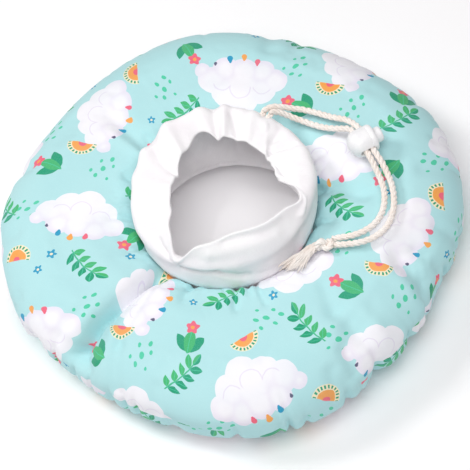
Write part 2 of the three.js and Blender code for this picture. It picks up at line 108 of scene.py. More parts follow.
# Cord lock, along its own axis from the dome end
BARREL_DIAMETER = 17
BARREL_DOME = 6.8
BARREL_END = 17.2
BORE_DIAMETER = 10.2
LOCK_WALL = 1.5
BUTTON_DIAMETER = 9.6
BUTTON_START = 4.3
BUTTON_END = 22.0
WINDOW = (4.3, 14.7)
SLOT = (5.8, 17.2)
WINDOW_HEIGHT = 4.7
LOCK_AXIS_ANGLE = 15
LOCK_DOME_END = (77.7, 9.2, 66.35)
BARREL_EDGE = 2
BUTTON_EDGE = 1.6
GROOVE_AT = 13.4
GROOVE_DEPTH = 0.35
LOCK_BEVEL = 0.28
LOCK_SMOOTH = 32

# Knot and tassel
KNOT_CENTRE = (49.6, -47.4, 57.6)
KNOT_TURN = 168
KNOT_LEAN = 52
KNOT_SCALE = 1.62
TASSEL_ROOT = (41.6, -46.0, 55.6)
TASSEL_LEFT = (20.4, -51.0, 52.8)
TASSEL_MIDDLE = (25.4, -53.6, 49.9)
TASSEL_RIGHT = (32.4, -58.6, 53.6)
YARNS = 96
YARN_POINTS = 22

# Camera, at the photo's angle: degrees above the floor and turned about its line of sight,
# then metres from the point that it looks at, lens and the shift of its own place
CAMERA_ELEVATION = 56
CAMERA_ROLL = 13.5
CAMERA_DISTANCE = 1.6
CAMERA_LENS = 202.6
CAMERA_AIM = (0, 0, 0.028)
CAMERA_SHIFT = (0.00116, -0.00496)

# Lamps: name, place, size, power and colour. One more, narrow, reaches into the neck hollow.
LAMPS = (
    ("key", (-0.8, 0.34, 1.1), 0.4, 6.5, (1.0, 0.99, 0.98)),
    ("front", (0.0, -0.5, 1.4), 0.9, 12.5, (1.0, 1.0, 1.0)),
)
LAMP_AIM = (0, 0, 0.03)
HOLLOW_FROM = (-0.34, -0.12, 1.5)
HOLLOW_AIM = (0.02, 0.004, 0.02)
HOLLOW_CONE = 3.0
HOLLOW_POWER = 24
HOLLOW_SOFTNESS = 0.04
FLOOR_SIZE = 3.0

# Outline of the ring from above: angle, share of RING_OUTER_RADIUS
OUTLINE = [
    (0, 1.022), (15, 1.018), (30, 0.986), (45, 0.973), (60, 0.978), (75, 1.007), (90, 1.029),
    (105, 1.012), (120, 0.987), (135, 0.976), (150, 0.997), (165, 1.021), (180, 1.008),
    (195, 1.004), (210, 0.964), (225, 0.965), (240, 0.984), (255, 1.019), (270, 1.04),
    (285, 1.021), (300, 0.988), (315, 0.98), (326, 0.958), (337, 0.993), (348, 1.012),
]

# Creases of the ring: from (at, across) to (at, across), depth and half-width as shares of
# RING_THICKNESS
CREASES = [
    (214, 150, 215, 22, 0.17, 0.13), (123, 80, 126, 122, 0.05, 0.11),
    (1, 150, 349, 108, 0.085, 0.12), (298, 76, 297, 44, 0.045, 0.09),
    (292, 48, 291, 22, 0.05, 0.07), (324, 58, 321, 28, 0.06, 0.1),
]

# Finer folds of the ring's cloth: from (at, across) to (at, across), depth and half-width in
# millimetres before FOLD_SCALE, where a ridge has a negative depth
FOLDS = [
    (213, 154, 214, 20, 5.6, 1.8), (219, 150, 224, 60, 1.6, 2.6), (212, 120, 211, 60, -1.2, 4.0),
    (225, 60, 229, 18, 1.5, 3.0), (207, 70, 206, 15, 1.2, 2.6), (121, 120, 128, 150, 2.2, 3.2),
    (130, 95, 131, 130, -1.4, 4.0), (296, 80, 301, 100, 1.2, 3.4), (303, 60, 303, 30, -1.1, 3.0),
    (286, 40, 285, 12, 1.3, 2.6), (319, 62, 316, 20, -1.2, 3.4), (329, 50, 329, 12, 1.6, 2.8),
    (338, 44, 337, 10, 1.0, 2.6), (66, 60, 68, 14, 1.6, 3.4), (59, 50, 58, 14, 1.3, 2.6),
    (356, 60, 357, 18, 1.2, 3.2), (6, 40, 5, 12, 1.0, 2.4), (150, 40, 151, 10, 1.3, 3.0),
    (172, 46, 171, 10, 1.2, 2.8), (190, 30, 190, 8, 1.0, 2.4), (240, 40, 241, 8, 1.1, 2.8),
    (264, 160, 263, 120, 1.5, 2.6), (271, 160, 271, 134, 1.2, 2.2),
    (276, 162, 277, 118, 1.4, 2.6), (299, 162, 300, 124, 1.5, 2.8),
    (306, 162, 308, 130, 1.2, 2.4), (20, 160, 19, 126, 1.4, 3.0), (80, 160, 80, 130, 1.2, 2.8),
    (105, 162, 106, 124, 1.5, 3.0), (145, 160, 146, 128, 1.3, 2.8),
    (170, 162, 171, 126, 1.5, 3.0), (192, 160, 193, 132, 1.2, 2.6),
    (236, 162, 237, 126, 1.6, 3.0), (335, 160, 334, 130, 1.3, 2.8),
]

# Sections of the sleeve's middle line: angle, belly, its height, shoulder, its height, rim,
# its height. Belly and shoulder are shares of SLEEVE_FLARE outside the inner seam, rim of
# RIM_TUCK inside it, and heights are shares of SLEEVE_RISE.
SLEEVE = [
    (0, 0.72, 0.5, 0.48, 0.8, 0.84, 0.89), (30, 0.76, 0.53, 0.5, 0.82, 0.94, 0.9),
    (60, 0.85, 0.58, 0.57, 0.87, 0.88, 0.91), (90, 0.95, 0.6, 0.65, 0.92, 0.7, 0.9),
    (120, 0.86, 0.57, 0.6, 0.88, 0.8, 0.87), (150, 0.8, 0.48, 0.47, 0.73, 1.06, 0.84),
    (180, 0.74, 0.38, 0.44, 0.63, 0.94, 0.82), (210, 0.56, 0.34, 0.26, 0.6, 0.42, 0.83),
    (240, 0.45, 0.32, 0.04, 0.64, 0.27, 0.92), (270, 0.48, 0.32, -0.04, 0.67, 0.6, 0.99),
    (300, 0.5, 0.34, 0.02, 0.69, 0.42, 0.99), (330, 0.6, 0.44, 0.26, 0.75, 0.34, 0.94),
]

# Folds of the hem: angle, half-width in degrees, push as a share of RIM_TUCK, lift as a
# share of SLEEVE_RISE
HEM_FOLDS = [
    (98, 10, 0.38, -0.02), (82, 8, -0.12, 0.02), (332, 9, 0.36, -0.03), (354, 8, -0.14, 0.01),
    (194, 9, -0.16, 0), (226, 9, 0.44, -0.2),
]

# Finer folds of the sleeve's cloth: from (at, along) to (at, along), height outward and
# half-width in millimetres. Along runs from the seam (0) to the shoulder (0.75) and rim (1).
SLEEVE_FOLDS = [
    (129, 0.74, 142, 0.99, -4.6, 4.2), (116, 0.74, 123, 0.98, 2.6, 4.4),
    (152, 0.7, 163, 0.97, 2.0, 5.0), (136, 0.56, 134, 0.73, 4.0, 6.5),
    (84, 0.74, 83, 1.0, -3.4, 2.6), (93, 0.7, 92, 1.0, 1.4, 3.4), (77, 0.72, 76, 0.98, 1.8, 2.6),
    (72, 0.8, 63, 0.98, -2.2, 2.6), (57, 0.84, 52, 0.99, 1.2, 3.0),
    (46, 0.82, 25, 0.99, 2.0, 1.6), (41, 0.86, 20, 1.0, -1.9, 1.8),
    (38, 0.76, 33, 0.86, -2.6, 2.8), (25, 0.96, 20, 0.8, -2.2, 1.9),
    (14, 0.8, 352, 0.86, 1.4, 5.0), (12, 0.99, 350, 0.92, -1.6, 1.6),
    (324, 0.82, 340, 1.0, 2.2, 2.4), (332, 0.84, 350, 0.99, -2.0, 1.8),
    (186, 0.78, 206, 0.83, -0.7, 1.8), (206, 0.83, 217, 0.81, -1.8, 1.8),
    (217, 0.8, 229, 0.7, -0.7, 1.8), (229, 0.68, 254, 0.69, -2.0, 1.8),
    (254, 0.69, 272, 0.6, -1.8, 2.0), (272, 0.6, 292, 0.53, -1.0, 3.0),
    (250, 0.88, 300, 0.84, 1.6, 4.5), (262, 0.96, 310, 0.9, -1.2, 3.0),
    (300, 0.34, 316, 0.66, -0.9, 4.0), (186, 0.3, 192, 0.62, -0.9, 3.6),
    (160, 0.34, 152, 0.6, -0.9, 4.0), (103, 0.3, 100, 0.62, -1.1, 4.0),
    (15, 0.28, 8, 0.6, -1.0, 3.8), (72, 0.25, 70, 0.55, -1.2, 3.0),
]

# Free strands, from the buttonhole through the lock to the knot
STRAND_OUTER = [
    (33.65, 46.94, 70.0), (35.1, 48.7, 69.8), (38.6, 50.5, 68.9), (42.6, 51.1, 67.2),
    (47.0, 50.9, 65.0), (51.8, 50.2, 62.8), (57.6, 48.6, 61.4), (65.0, 44.0, 61.4),
    (73.2, 37.4, 62.6), (81.6, 30.6, 65.0), (87.2, 21.6, 66.35), (89.7, 12.4, 66.35),
    (92.1, 3.2, 66.35), (94.6, -4.0, 64.0), (96.2, -10.8, 60.9), (97.0, -19.6, 60.2),
    (95.7, -30.4, 60.0), (92.2, -40.2, 59.9), (86.5, -47.6, 59.9), (78.6, -52.0, 60.0),
    (69.8, -53.1, 59.8), (62.0, -51.7, 59.1), (54.8, -49.6, 58.3),
]
STRAND_INNER = [
    (37.3, 44.3, 70.0), (38.7, 45.9, 69.6), (41.6, 46.8, 68.0), (45.4, 46.2, 65.4),
    (49.8, 44.4, 62.6), (54.8, 41.6, 60.8), (61.0, 37.2, 60.0), (68.0, 31.8, 61.2),
    (75.2, 27.0, 63.8), (80.2, 24.0, 65.8), (83.1, 20.5, 66.35), (85.5, 11.3, 66.35),
    (88.0, 2.1, 66.35), (89.8, -5.2, 63.6), (91.2, -12.0, 60.7), (91.8, -19.6, 60.2),
    (90.4, -28.4, 60.1), (86.8, -36.8, 60.0), (81.2, -42.8, 60.0), (74.2, -46.0, 59.8),
    (66.8, -46.8, 59.3), (60.8, -46.0, 58.7), (55.1, -45.3, 58.3),
]

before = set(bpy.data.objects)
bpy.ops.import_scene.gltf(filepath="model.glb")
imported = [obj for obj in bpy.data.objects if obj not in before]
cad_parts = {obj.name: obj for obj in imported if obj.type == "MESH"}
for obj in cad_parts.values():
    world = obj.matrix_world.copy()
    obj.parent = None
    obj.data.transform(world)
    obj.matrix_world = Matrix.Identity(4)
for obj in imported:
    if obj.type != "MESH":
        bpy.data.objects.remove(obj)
cad_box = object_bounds()
random = np.random.default_rng(7)


def cosine(degrees):
    return np.cos(np.radians(degrees))


def sine(degrees):
    return np.sin(np.radians(degrees))


def unit(vectors):
    return vectors / np.linalg.norm(vectors, axis=-1, keepdims=True)


def add_object(name, data):
    piece = bpy.data.objects.new(name, data)
    bpy.context.collection.objects.link(piece)
    return piece


def make_camera():
    elevation, roll = math.radians(CAMERA_ELEVATION), math.radians(CAMERA_ROLL)
    right = Vector((1, 0, 0))
    up = Vector((0, math.sin(elevation), math.cos(elevation)))
    back = Vector((0, -math.cos(elevation), math.sin(elevation)))
    across = math.cos(roll) * right - math.sin(roll) * up
    upright = math.sin(roll) * right + math.cos(roll) * up
    place = Vector(CAMERA_AIM) + CAMERA_DISTANCE * back
    place += CAMERA_SHIFT[0] * across + CAMERA_SHIFT[1] * upright
    data = bpy.data.cameras.new("camera")
    data.sensor_width = 36
    data.lens = CAMERA_LENS
    data.clip_start = 0.05
    camera = add_object("camera", data)
    turn = Matrix((across, upright, back)).transposed().to_4x4()
    camera.matrix_world = Matrix.Translation(place) @ turn
    bpy.context.scene.camera = camera


# Node materials
class Shade:
    """One material, with short calls for the nodes that make it"""

    def __init__(self, name, roughness, **sockets):
        self.material = bpy.data.materials.new(name)
        self.material.use_nodes = True
        self.tree = self.material.node_tree
        self.surface = self.tree.nodes["Principled BSDF"]
        self.surface.inputs["Roughness"].default_value = roughness
        for socket, value in sockets.items():
            self.surface.inputs[socket.replace("_", " ")].default_value = value

    def set(self, socket, value):
        if isinstance(value, bpy.types.NodeSocket):
            self.tree.links.new(value, socket)
        elif socket.type == "RGBA" and len(value) == 3:
            socket.default_value = (*value, 1)
        else:
            socket.default_value = value

    def add(self, kind, *values):
        """New node with its first sockets set"""
        node = self.tree.nodes.new("ShaderNode" + kind)
        for socket, value in zip(node.inputs, values):
            self.set(socket, value)
        return node

    def math(self, operation, *values):
        node = self.add("Math", *values)
        node.operation = operation
        return node.outputs[0]

    def times(self, first, second):
        return self.math("MULTIPLY", first, second)

    def minus(self, first, second):
        return self.math("SUBTRACT", first, second)

    def most(self, first, second):
        return self.math("MAXIMUM", first, second)

    def least(self, first, second):
        return self.math("MINIMUM", first, second)

    def size(self, value):
        return self.math("ABSOLUTE", value)

    def vector(self, operation, *values):
        node = self.add("VectorMath", *values)
        node.operation = operation
        return node.outputs["Value" if operation in ("LENGTH", "DISTANCE") else "Vector"]

    def split(self, vector):
        return tuple(self.add("SeparateXYZ", vector).outputs)

    def join(self, x, y, z=0.0):
        return self.add("CombineXYZ", x, y, z).outputs[0]

    def turn(self, vector, degrees):
        node = self.add("VectorRotate", vector)
        node.rotation_type = "Z_AXIS"
        node.inputs["Angle"].default_value = math.radians(degrees)
        return node.outputs[0]

    def blend(self, kind, values, sockets, output):
        node = self.add("Mix")
        node.data_type = kind
        for index, value in zip(sockets, values):
            self.set(node.inputs[index], value)
        return node.outputs[output]

    def mix(self, *values):
        """Colour from a factor, the colour at 0 and the colour at 1"""
        return self.blend("RGBA", values, (0, 6, 7), 2)

    def choose(self, *values):
        """Vector from a factor, the vector at 0 and the vector at 1"""
        return self.blend("VECTOR", values, (0, 4, 5), 1)

    def noise(self, vector, scale, detail=3.0, output="Fac"):
        node = self.add("TexNoise", vector)
        node.inputs["Scale"].default_value = scale
        node.inputs["Detail"].default_value = detail
        return node.outputs[output]

    def band(self, value, low, high, to_low=0.0, to_high=1.0):
        node = self.add("MapRange", value, low, high, to_low, to_high)
        node.interpolation_type = "SMOOTHSTEP"
        return node.outputs[0]

    def uv(self, name):
        node = self.add("UVMap")
        node.uv_map = name
        return node.outputs[0]

    def place(self):
        return self.add("TexCoord").outputs["Object"]

    def bump(self, height, strength, distance, before=None):
        node = self.add("Bump")
        node.inputs["Strength"].default_value = strength
        node.inputs["Distance"].default_value = distance
        self.set(node.inputs["Height"], height)
        if before is not None:
            self.set(node.inputs["Normal"], before)
        return node.outputs[0]

    def finish(self, colour, roughness=None, normal=None):
        self.set(self.surface.inputs["Base Color"], colour)
        if roughness is not None:
            self.set(self.surface.inputs["Roughness"], roughness)
        if normal is not None:
            self.set(self.surface.inputs["Normal"], normal)
        return self.material


def srgb(red, green, blue):
    """Linear colour from the usual 0 to 255 values"""
    values = []
    for value in (red, green, blue):
        share = value / 255
        values.append(share / 12.92 if share < 0.04045 else ((share + 0.055) / 1.055) ** 2.4)
    return tuple(values)


AQUA = srgb(181, 226, 229)
WHITE = srgb(246, 244, 249)
LILAC = srgb(226, 214, 236)
MINT = srgb(78, 205, 165)
GREEN = srgb(66, 182, 112)
DARK_GREEN = srgb(16, 156, 114)
CORAL = srgb(240, 98, 124)
ORANGE = srgb(246, 164, 74)
CREAM = srgb(250, 236, 200)
BLUE = srgb(34, 155, 196)
SLATE = srgb(92, 86, 116)


PRINT_TILE = (172, 150)
PRINT_SHIFT = (44, 12, 0)
PRINT_WOBBLE = (2.4, 2.4, 0)
EDGE_SOFTNESS = 0.35


def paint(shade, colour, distance, tint):
    """Colour with a printed shape on it, from the distance to the shape's edge"""
    half = EDGE_SOFTNESS / 2
    return shade.mix(shade.band(distance, -half, half, 1.0, 0.0), colour, tint)


def nearest_copy(shade, point, spots):
    """Local coordinates of the nearest copy of a motif: spots are x, y, turn, size, flip"""
    best, reach = None, None
    half = (PRINT_TILE[0] / 2, PRINT_TILE[1] / 2, 1)
    for x, y, turn, size, flip in spots:
        local = shade.vector("SUBTRACT", point, (x, y, 0))
        local = shade.vector("WRAP", local, half, tuple(-value for value in half))
        local = shade.turn(local, -turn)
        local = shade.vector("MULTIPLY", local, (flip / size, 1 / size, 1))
        away = shade.vector("LENGTH", local)
        if best is None:
            best, reach = local, away
        else:
            best = shade.choose(shade.math("LESS_THAN", away, reach), best, local)
            reach = shade.least(reach, away)
    return best


def circles(shade, local, spots):
    """Distance to the union of circles: spots are x, y, radius"""
    best = None
    for x, y, radius in spots:
        away = shade.minus(shade.vector("DISTANCE", local, (x, y, 0)), radius)
        best = away if best is None else shade.least(best, away)
    return best


def leaf(shade, local, x, y, turn, length, width):
    """Distance to a pointed leaf, with its coordinate across"""
    moved = shade.turn(shade.vector("SUBTRACT", local, (x, y, 0)), -turn)
    along, across, _ = shade.split(moved)
    half = length / 2
    bow = (half * half + width * width / 4) / width
    lifted = shade.math("ADD", shade.size(across), bow - width / 2)
    return shade.minus(shade.vector("LENGTH", shade.join(along, lifted)), bow), across


def flower(shade, x, y, wave, radius):
    """Distance to a flower of five petals, and to its middle"""
    around = shade.times(shade.math("ARCTAN2", x, y), 5.0)
    away = shade.vector("LENGTH", shade.join(x, y))
    reach = shade.math("MULTIPLY_ADD", shade.math("COSINE", around), wave, radius)
    return shade.minus(away, reach), away


def print_colours(shade, point):
    """Generic nursery print: clouds, sprigs, buds, suns, small flowers and dots"""
    point = shade.vector("ADD", point, PRINT_SHIFT)
    wobble = shade.noise(point, 0.11, 2, "Color")
    wobble = shade.vector("SUBTRACT", wobble, (0.5, 0.5, 0.5))
    point = shade.vector("MULTIPLY_ADD", wobble, PRINT_WOBBLE, point)

    dots = nearest_copy(shade, point, [
        (92, 44, 0, 1, 1), (141, 62, 70, 1, 1), (52, 70, 150, 1, -1), (6, 8, 30, 1, 1),
        (112, 108, 200, 1, -1), (22, 112, 110, 1, 1),
    ])
    spread = circles(shade, shade.vector("MULTIPLY", dots, (1, 1.5, 1)), [
        (0, 0, 2.3), (6.2, 3.4, 1.7), (-5.6, 5.2, 1.9), (2.6, -9.2, 1.5), (-7.6, -5.4, 1.3),
        (8.4, -6.6, 2.0), (-1.4, 11.4, 1.5),
    ])
    colour = paint(shade, AQUA, spread, MINT)

    sprig = nearest_copy(shade, point, [
        (74, 58, 24, 1.05, 1), (166, 44, -62, 1, -1), (30, 92, 112, 0.98, 1),
        (118, 138, -150, 1.02, -1),
    ])
    x, y, _ = shade.split(sprig)
    x = shade.minus(x, shade.times(shade.math("POWER", y, 2.0), 0.012))
    side = shade.size(x)
    spacing = 6.2
    row = shade.math("ROUND", shade.math("DIVIDE", y, spacing))
    row = shade.most(shade.least(row, 1.0), -2.0)
    folded = shade.join(side, shade.minus(y, shade.times(row, spacing)))
    pair, vein = leaf(shade, folded, 3.7, 1.6, 38, 8.6, 4.3)
    top, top_vein = leaf(shade, shade.join(x, y), 0, 12.4, 90, 8.6, 4.4)
    stem = shade.most(shade.minus(side, 0.45), shade.minus(shade.size(y), 15.5))
    green = shade.mix(shade.band(x, -0.2, 0.2), DARK_GREEN, GREEN)
    ribs = shade.least(shade.size(vein), shade.size(top_vein))
    green = shade.mix(shade.band(ribs, 0.15, 0.35, 0.55, 0.0), green, MINT)
    colour = paint(shade, colour, shade.least(shade.least(pair, top), stem), green)

    bud = nearest_copy(shade, point, [
        (2, 66, -22, 1, 1), (108, 76, 48, 1.08, -1), (44, 136, 196, 0.96, 1), (150, 6, 130, 1, 1),
    ])
    left, _ = leaf(shade, bud, -4.6, -3.2, 128, 14, 6.4)
    right, _ = leaf(shade, bud, 4.6, -3.2, 52, 14, 6.4)
    middle, rib = leaf(shade, bud, 0, -1.6, 90, 17, 7.4)
    colour = paint(shade, colour, shade.least(left, right), DARK_GREEN)
    tone = shade.mix(shade.band(shade.size(rib), 0.2, 0.4, 0.6, 0.0), GREEN, MINT)
    colour = paint(shade, colour, middle, tone)
    x, y, _ = shade.split(bud)
    bloom, away = flower(shade, x, shade.minus(y, 8.2), 0.75, 3.9)
    colour = paint(shade, colour, bloom, CORAL)
    colour = shade.mix(shade.band(away, 1.1, 1.5, 1.0, 0.0), colour, ORANGE)

    cloud = nearest_copy(shade, point, [
        (34, 28, 12, 1.0, 1), (122, 28, -28, 0.94, -1), (74, 104, 162, 1.04, 1),
        (150, 106, 64, 0.96, -1),
    ])
    shape = circles(shade, cloud, [
        (-21, -3, 8.5), (-13, 5, 9.5), (-2, 11, 10.5), (10, 7.5, 9.5), (20, 0, 9),
        (12, -8.5, 8.5), (0, -7.5, 10), (-12, -9, 8.5), (0, 2, 12), (27, -6.5, 5),
    ])
    _, y, _ = shade.split(cloud)
    rim = shade.band(shape, -6.0, -0.6, 0.0, 0.5)
    white = shade.mix(shade.times(rim, shade.band(y, -10.0, 8.0, 1.0, 0.1)), WHITE, LILAC)
    curls = circles(shade, cloud, [(-13, 1, 6.2), (1, 5, 6.6), (13, 1, 6.0)])
    curl = shade.band(shade.size(curls), 0.2, 0.55, 0.55, 0.0)
    white = shade.mix(shade.times(curl, shade.band(y, 2.0, 4.0, 0.0, 1.0)), white, LILAC)
    colour = paint(shade, colour, shape, white)
    for x, y, size, tint in (
        (-8, -16.5, 1, CORAL), (1, -19, 1, ORANGE), (10, -16.5, 1, BLUE), (19, -12, 0.55, SLATE)
    ):
        drop = circles(shade, cloud, [
            (x, y + up * size, radius * size) for up, radius in ((0, 1.9), (1.3, 1.4), (2.6, 0.8))
        ])
        colour = paint(shade, colour, drop, tint)

    sun = nearest_copy(shade, point, [
        (78, 14, -28, 1.0, 1), (130, 84, 152, 0.94, 1), (4, 132, 84, 1.0, 1), (36, 58, 200, 0.9, 1),
    ])
    x, y, _ = shade.split(sun)
    raised = shade.math("ADD", y, 3.5)
    away = shade.vector("LENGTH", shade.join(x, raised))
    rays = shade.math("COSINE", shade.times(shade.math("ARCTAN2", raised, x), 22.0))
    below = shade.times(raised, -1.0)
    ring = shade.minus(shade.size(shade.minus(away, 8.9)), 1.0)
    ticks = shade.most(shade.most(ring, shade.times(rays, -1.0)), below)
    colour = paint(shade, colour, shade.most(shade.minus(away, 10.4), below), CREAM)
    colour = paint(shade, colour, ticks, DARK_GREEN)
    for radius, tint in ((7.2, ORANGE), (3.0, CORAL)):
        colour = paint(shade, colour, shade.most(shade.minus(away, radius), below), tint)

    bloom = nearest_copy(shade, point, [
        (60, 84, 0, 1, 1), (100, 4, 40, 1.1, 1), (90, 146, 20, 1, 1), (8, 92, 60, 0.9, 1),
        (146, 140, 10, 1, 1),
    ])
    x, y, _ = shade.split(bloom)
    shape, away = flower(shade, x, y, 0.7, 2.5)
    colour = paint(shade, colour, shape, BLUE)
    return shade.mix(shade.band(away, 0.7, 1.0, 1.0, 0.0), colour, CREAM)


def ripple(shade, value, pitch):
    """Wave of threads a pitch apart in millimetres"""
    return shade.math("SINE", shade.times(value, 2 * math.pi / pitch))


def printed_cloth():
    shade = Shade(
        "printed_cloth", 0.82, Sheen_Weight=0.12, Sheen_Roughness=0.5, Specular_IOR_Level=0.3
    )
    point = shade.uv("Cut")
    x, y, _ = shade.split(point)
    colour = print_colours(shade, point)
    blotch = shade.noise(point, 0.03, 4)
    colour = shade.mix(shade.band(blotch, 0.35, 0.7, 0.0, 0.1), colour, srgb(150, 205, 214))
    fibre = shade.noise(point, 1.4, 2)
    colour = shade.mix(shade.band(fibre, 0.4, 0.75, 0.0, 0.06), colour, srgb(235, 250, 252))
    roughness = shade.band(blotch, 0.3, 0.7, 0.74, 0.88)
    threads = shade.times(ripple(shade, x, 0.7), ripple(shade, y, 0.7))
    normal = shade.bump(threads, 0.25, 0.00006)
    normal = shade.bump(shade.noise(point, 0.16, 4), 0.22, 0.0006, normal)
    return shade.finish(colour, roughness, normal)


def sleeve_cotton():
    shade = Shade(
        "sleeve_cotton", 0.9, Sheen_Weight=0.2, Sheen_Roughness=0.6, Specular_IOR_Level=0.25,
        Subsurface_Weight=0.6, Subsurface_Radius=(1.0, 1.0, 1.0), Subsurface_Scale=0.003,
    )
    point = shade.uv("Cut")
    x, y, _ = shade.split(point)
    blotch = shade.noise(point, 0.05, 4)
    colour = shade.mix(shade.band(blotch, 0.3, 0.7), srgb(249, 246, 248), srgb(243, 239, 242))
    slub = shade.noise(shade.join(shade.times(x, 3.0), shade.times(y, 0.3)), 1.0, 3)
    colour = shade.mix(shade.band(slub, 0.45, 0.75, 0.0, 0.2), colour, srgb(228, 222, 230))
    knit = shade.math("MULTIPLY_ADD", ripple(shade, y, 0.7), 0.4, ripple(shade, x, 0.9))
    normal = shade.bump(knit, 0.3, 0.00007)
    normal = shade.bump(shade.noise(point, 0.3, 4), 0.25, 0.0005, normal)
    return shade.finish(colour, shade.band(blotch, 0.3, 0.7, 0.84, 0.95), normal)


def cord_cotton():
    shade = Shade("cord_cotton", 0.93, Sheen_Weight=0.3, Sheen_Roughness=0.6, Specular_IOR_Level=0.2)
    x, y, _ = shade.split(shade.uv("Ply"))
    blotch = shade.noise(shade.place(), 120.0, 4)
    colour = shade.mix(shade.band(blotch, 0.3, 0.7), srgb(255, 249, 244), srgb(252, 240, 231))
    turns = shade.times(y, 2 * math.pi)
    yarns = shade.math("SINE", shade.math("MULTIPLY_ADD", x, 3.1, turns))
    # Painted shade: darker where the yarn wave dips, in the grooves between the yarns, from the same
    # wave that makes the bump.
    colour = shade.mix(shade.band(yarns, -1.0, 0.2, 0.2, 0.0), colour, srgb(232, 212, 196))
    normal = shade.bump(yarns, 0.5, 0.00018)
    normal = shade.bump(shade.noise(shade.place(), 1500.0, 3), 0.4, 0.00015, normal)
    return shade.finish(colour, shade.band(blotch, 0.3, 0.7, 0.88, 0.97), normal)


def lock_plastic():
    shade = Shade("lock_plastic", 0.28, Coat_Weight=0.2, Coat_Roughness=0.2)
    spot = shade.noise(shade.place(), 260.0, 4)
    colour = shade.mix(shade.band(spot, 0.35, 0.65), srgb(252, 251, 252), srgb(247, 246, 248))
    grain = shade.noise(shade.place(), 2600.0, 3)
    normal = shade.bump(grain, 0.12, 0.00004)
    return shade.finish(colour, shade.band(grain, 0.3, 0.7, 0.24, 0.36), normal)


# Meshes
def add_mesh(name, points, faces, material, uv=None, uv_name="Cut"):
    """Object of points in millimetres, with one pair of coordinates for each face corner"""
    mesh = bpy.data.meshes.new(name)
    mesh.from_pydata((np.asarray(points) * MM).tolist(), [], [tuple(face) for face in faces])
    mesh.materials.append(material)
    mesh.polygons.foreach_set("use_smooth", [True] * len(mesh.polygons))
    if uv is not None:
        layer = mesh.uv_layers.new(name=uv_name)
        layer.uv.foreach_set("vector", np.asarray(uv, dtype=np.float32).ravel())
    mesh.update()
    return add_object(name, mesh)


def grid_faces(rows, columns, close_rows=True, close_columns=True):
    """Corners of a grid's faces, as row and column numbers"""
    row = np.arange(rows if close_rows else rows - 1)
    column = np.arange(columns if close_columns else columns - 1)
    row, column = (values.ravel() for values in np.meshgrid(row, column, indexing="ij"))
    corner_rows = np.stack([row, row + 1, row + 1, row], axis=1)
    corner_columns = np.stack([column, column, column + 1, column + 1], axis=1)
    return corner_rows, corner_columns


def hermite(share, start, end, leaving, arriving):
    """Curve from start to end with the slopes that it leaves and arrives with"""
    square, cube = share**2, share**3
    return (
        (2 * cube - 3 * square + 1) * start + (cube - 2 * square + share) * leaving
        + (3 * square - 2 * cube) * end + (cube - square) * arriving
    )


def periodic(table, column, angle):
    """Smooth closed curve through the rows of a table, read at any angle"""
    at = np.array([row[0] for row in table], float)
    value = np.array([row[column] for row in table], float)
    count = len(at)
    turn = (np.asarray(angle, float) - at[0]) % 360 + at[0]
    row = np.searchsorted(at, turn, side="right") - 1
    place = lambda index: at[index % count] + 360 * (index // count)
    read = lambda index: value[index % count]
    span = place(row + 1) - place(row)
    share = (turn - place(row)) / span
    slope = (read(row + 1) - read(row - 1)) / (place(row + 1) - place(row - 1))
    slope_next = (read(row + 2) - read(row)) / (place(row + 2) - place(row))
    return hermite(share, read(row), read(row + 1), span * slope, span * slope_next)


def turn_between(angle, other):
    return (np.asarray(angle, float) - other + 180) % 360 - 180


def bell(away, width):
    """1 in the middle and 0 far away"""
    return np.exp(-((away / width) ** 2))


def distances(line, axis=0):
    """Distance of each point from the line's start, measured along it"""
    steps = np.linalg.norm(np.diff(line, axis=axis), axis=-1)
    start = np.zeros_like(np.take(steps, [0], axis=axis))
    return np.concatenate([start, np.cumsum(steps, axis=axis)], axis=axis)


def discard(piece):
    mesh = piece.data
    bpy.data.objects.remove(piece)
    bpy.data.meshes.remove(mesh)


def stroke(angle, across, line, around_scale, across_scale, width):
    """How near each place lies to a line drawn on the cloth, from 1 on it to 0 far away"""
    at, start, to_at, end = line
    run = turn_between(to_at, at) * around_scale
    climb = (end - start) * across_scale
    u = turn_between(angle, at) * around_scale
    v = (across - start) * across_scale
    along = np.clip((u * run + v * climb) / (run**2 + climb**2), 0, 1)
    return bell(np.hypot(u - along * run, v - along * climb), width)


def crease_depth(angle, across, creases, scale):
    """How far creases draw the ring's cloth in, where their depths and widths are times scale"""
    depth = 0.0
    middle = (RING_OUTER_RADIUS * periodic(OUTLINE, 1, angle) + NECK_HOLE_RADIUS) / 2
    around_scale = math.radians(1) * middle
    across_scale = math.radians(1) * (middle - NECK_HOLE_RADIUS + RING_THICKNESS - SEAM_HEIGHT) / 2
    for *line, deep, width in creases:
        reach = stroke(angle, across, line, around_scale, across_scale, width * scale)
        depth = depth + deep * scale * reach
    return depth


def ring_points(angle, across, offset=0.0, creased=True):
    """Points of the ring's cloth in millimetres"""
    outer = RING_OUTER_RADIUS * periodic(OUTLINE, 1, angle)
    middle = (outer + NECK_HOLE_RADIUS) / 2
    half_width = (outer - NECK_HOLE_RADIUS) / 2
    crown = RING_THICKNESS - SEAM_HEIGHT
    below = SEAM_HEIGHT / np.sqrt(1 - (FLAT_WIDTH / 2 / half_width) ** 2)
    cos, sin = cosine(across), sine(across)
    half_height = np.where(sin > 0, crown, below)
    inward = SEAM_PINCH * bell(sin, PINCH_SPREAD) - offset
    if creased:
        inward = inward + crease_depth(angle, across, CREASES, RING_THICKNESS)
    normal = np.stack([cos / half_width, sin / half_height])
    normal = normal / np.linalg.norm(normal, axis=0)
    radius = middle + half_width * cos - inward * normal[0]
    height = np.maximum(0, SEAM_HEIGHT + half_height * sin - inward * normal[1])
    return polar(radius, angle, height)


def polar(radius, angle, height):
    x = radius * cosine(angle) + CENTRE[0]
    y = radius * sine(angle) + CENTRE[1]
    return np.stack([x, y, height + 0 * x], axis=-1)


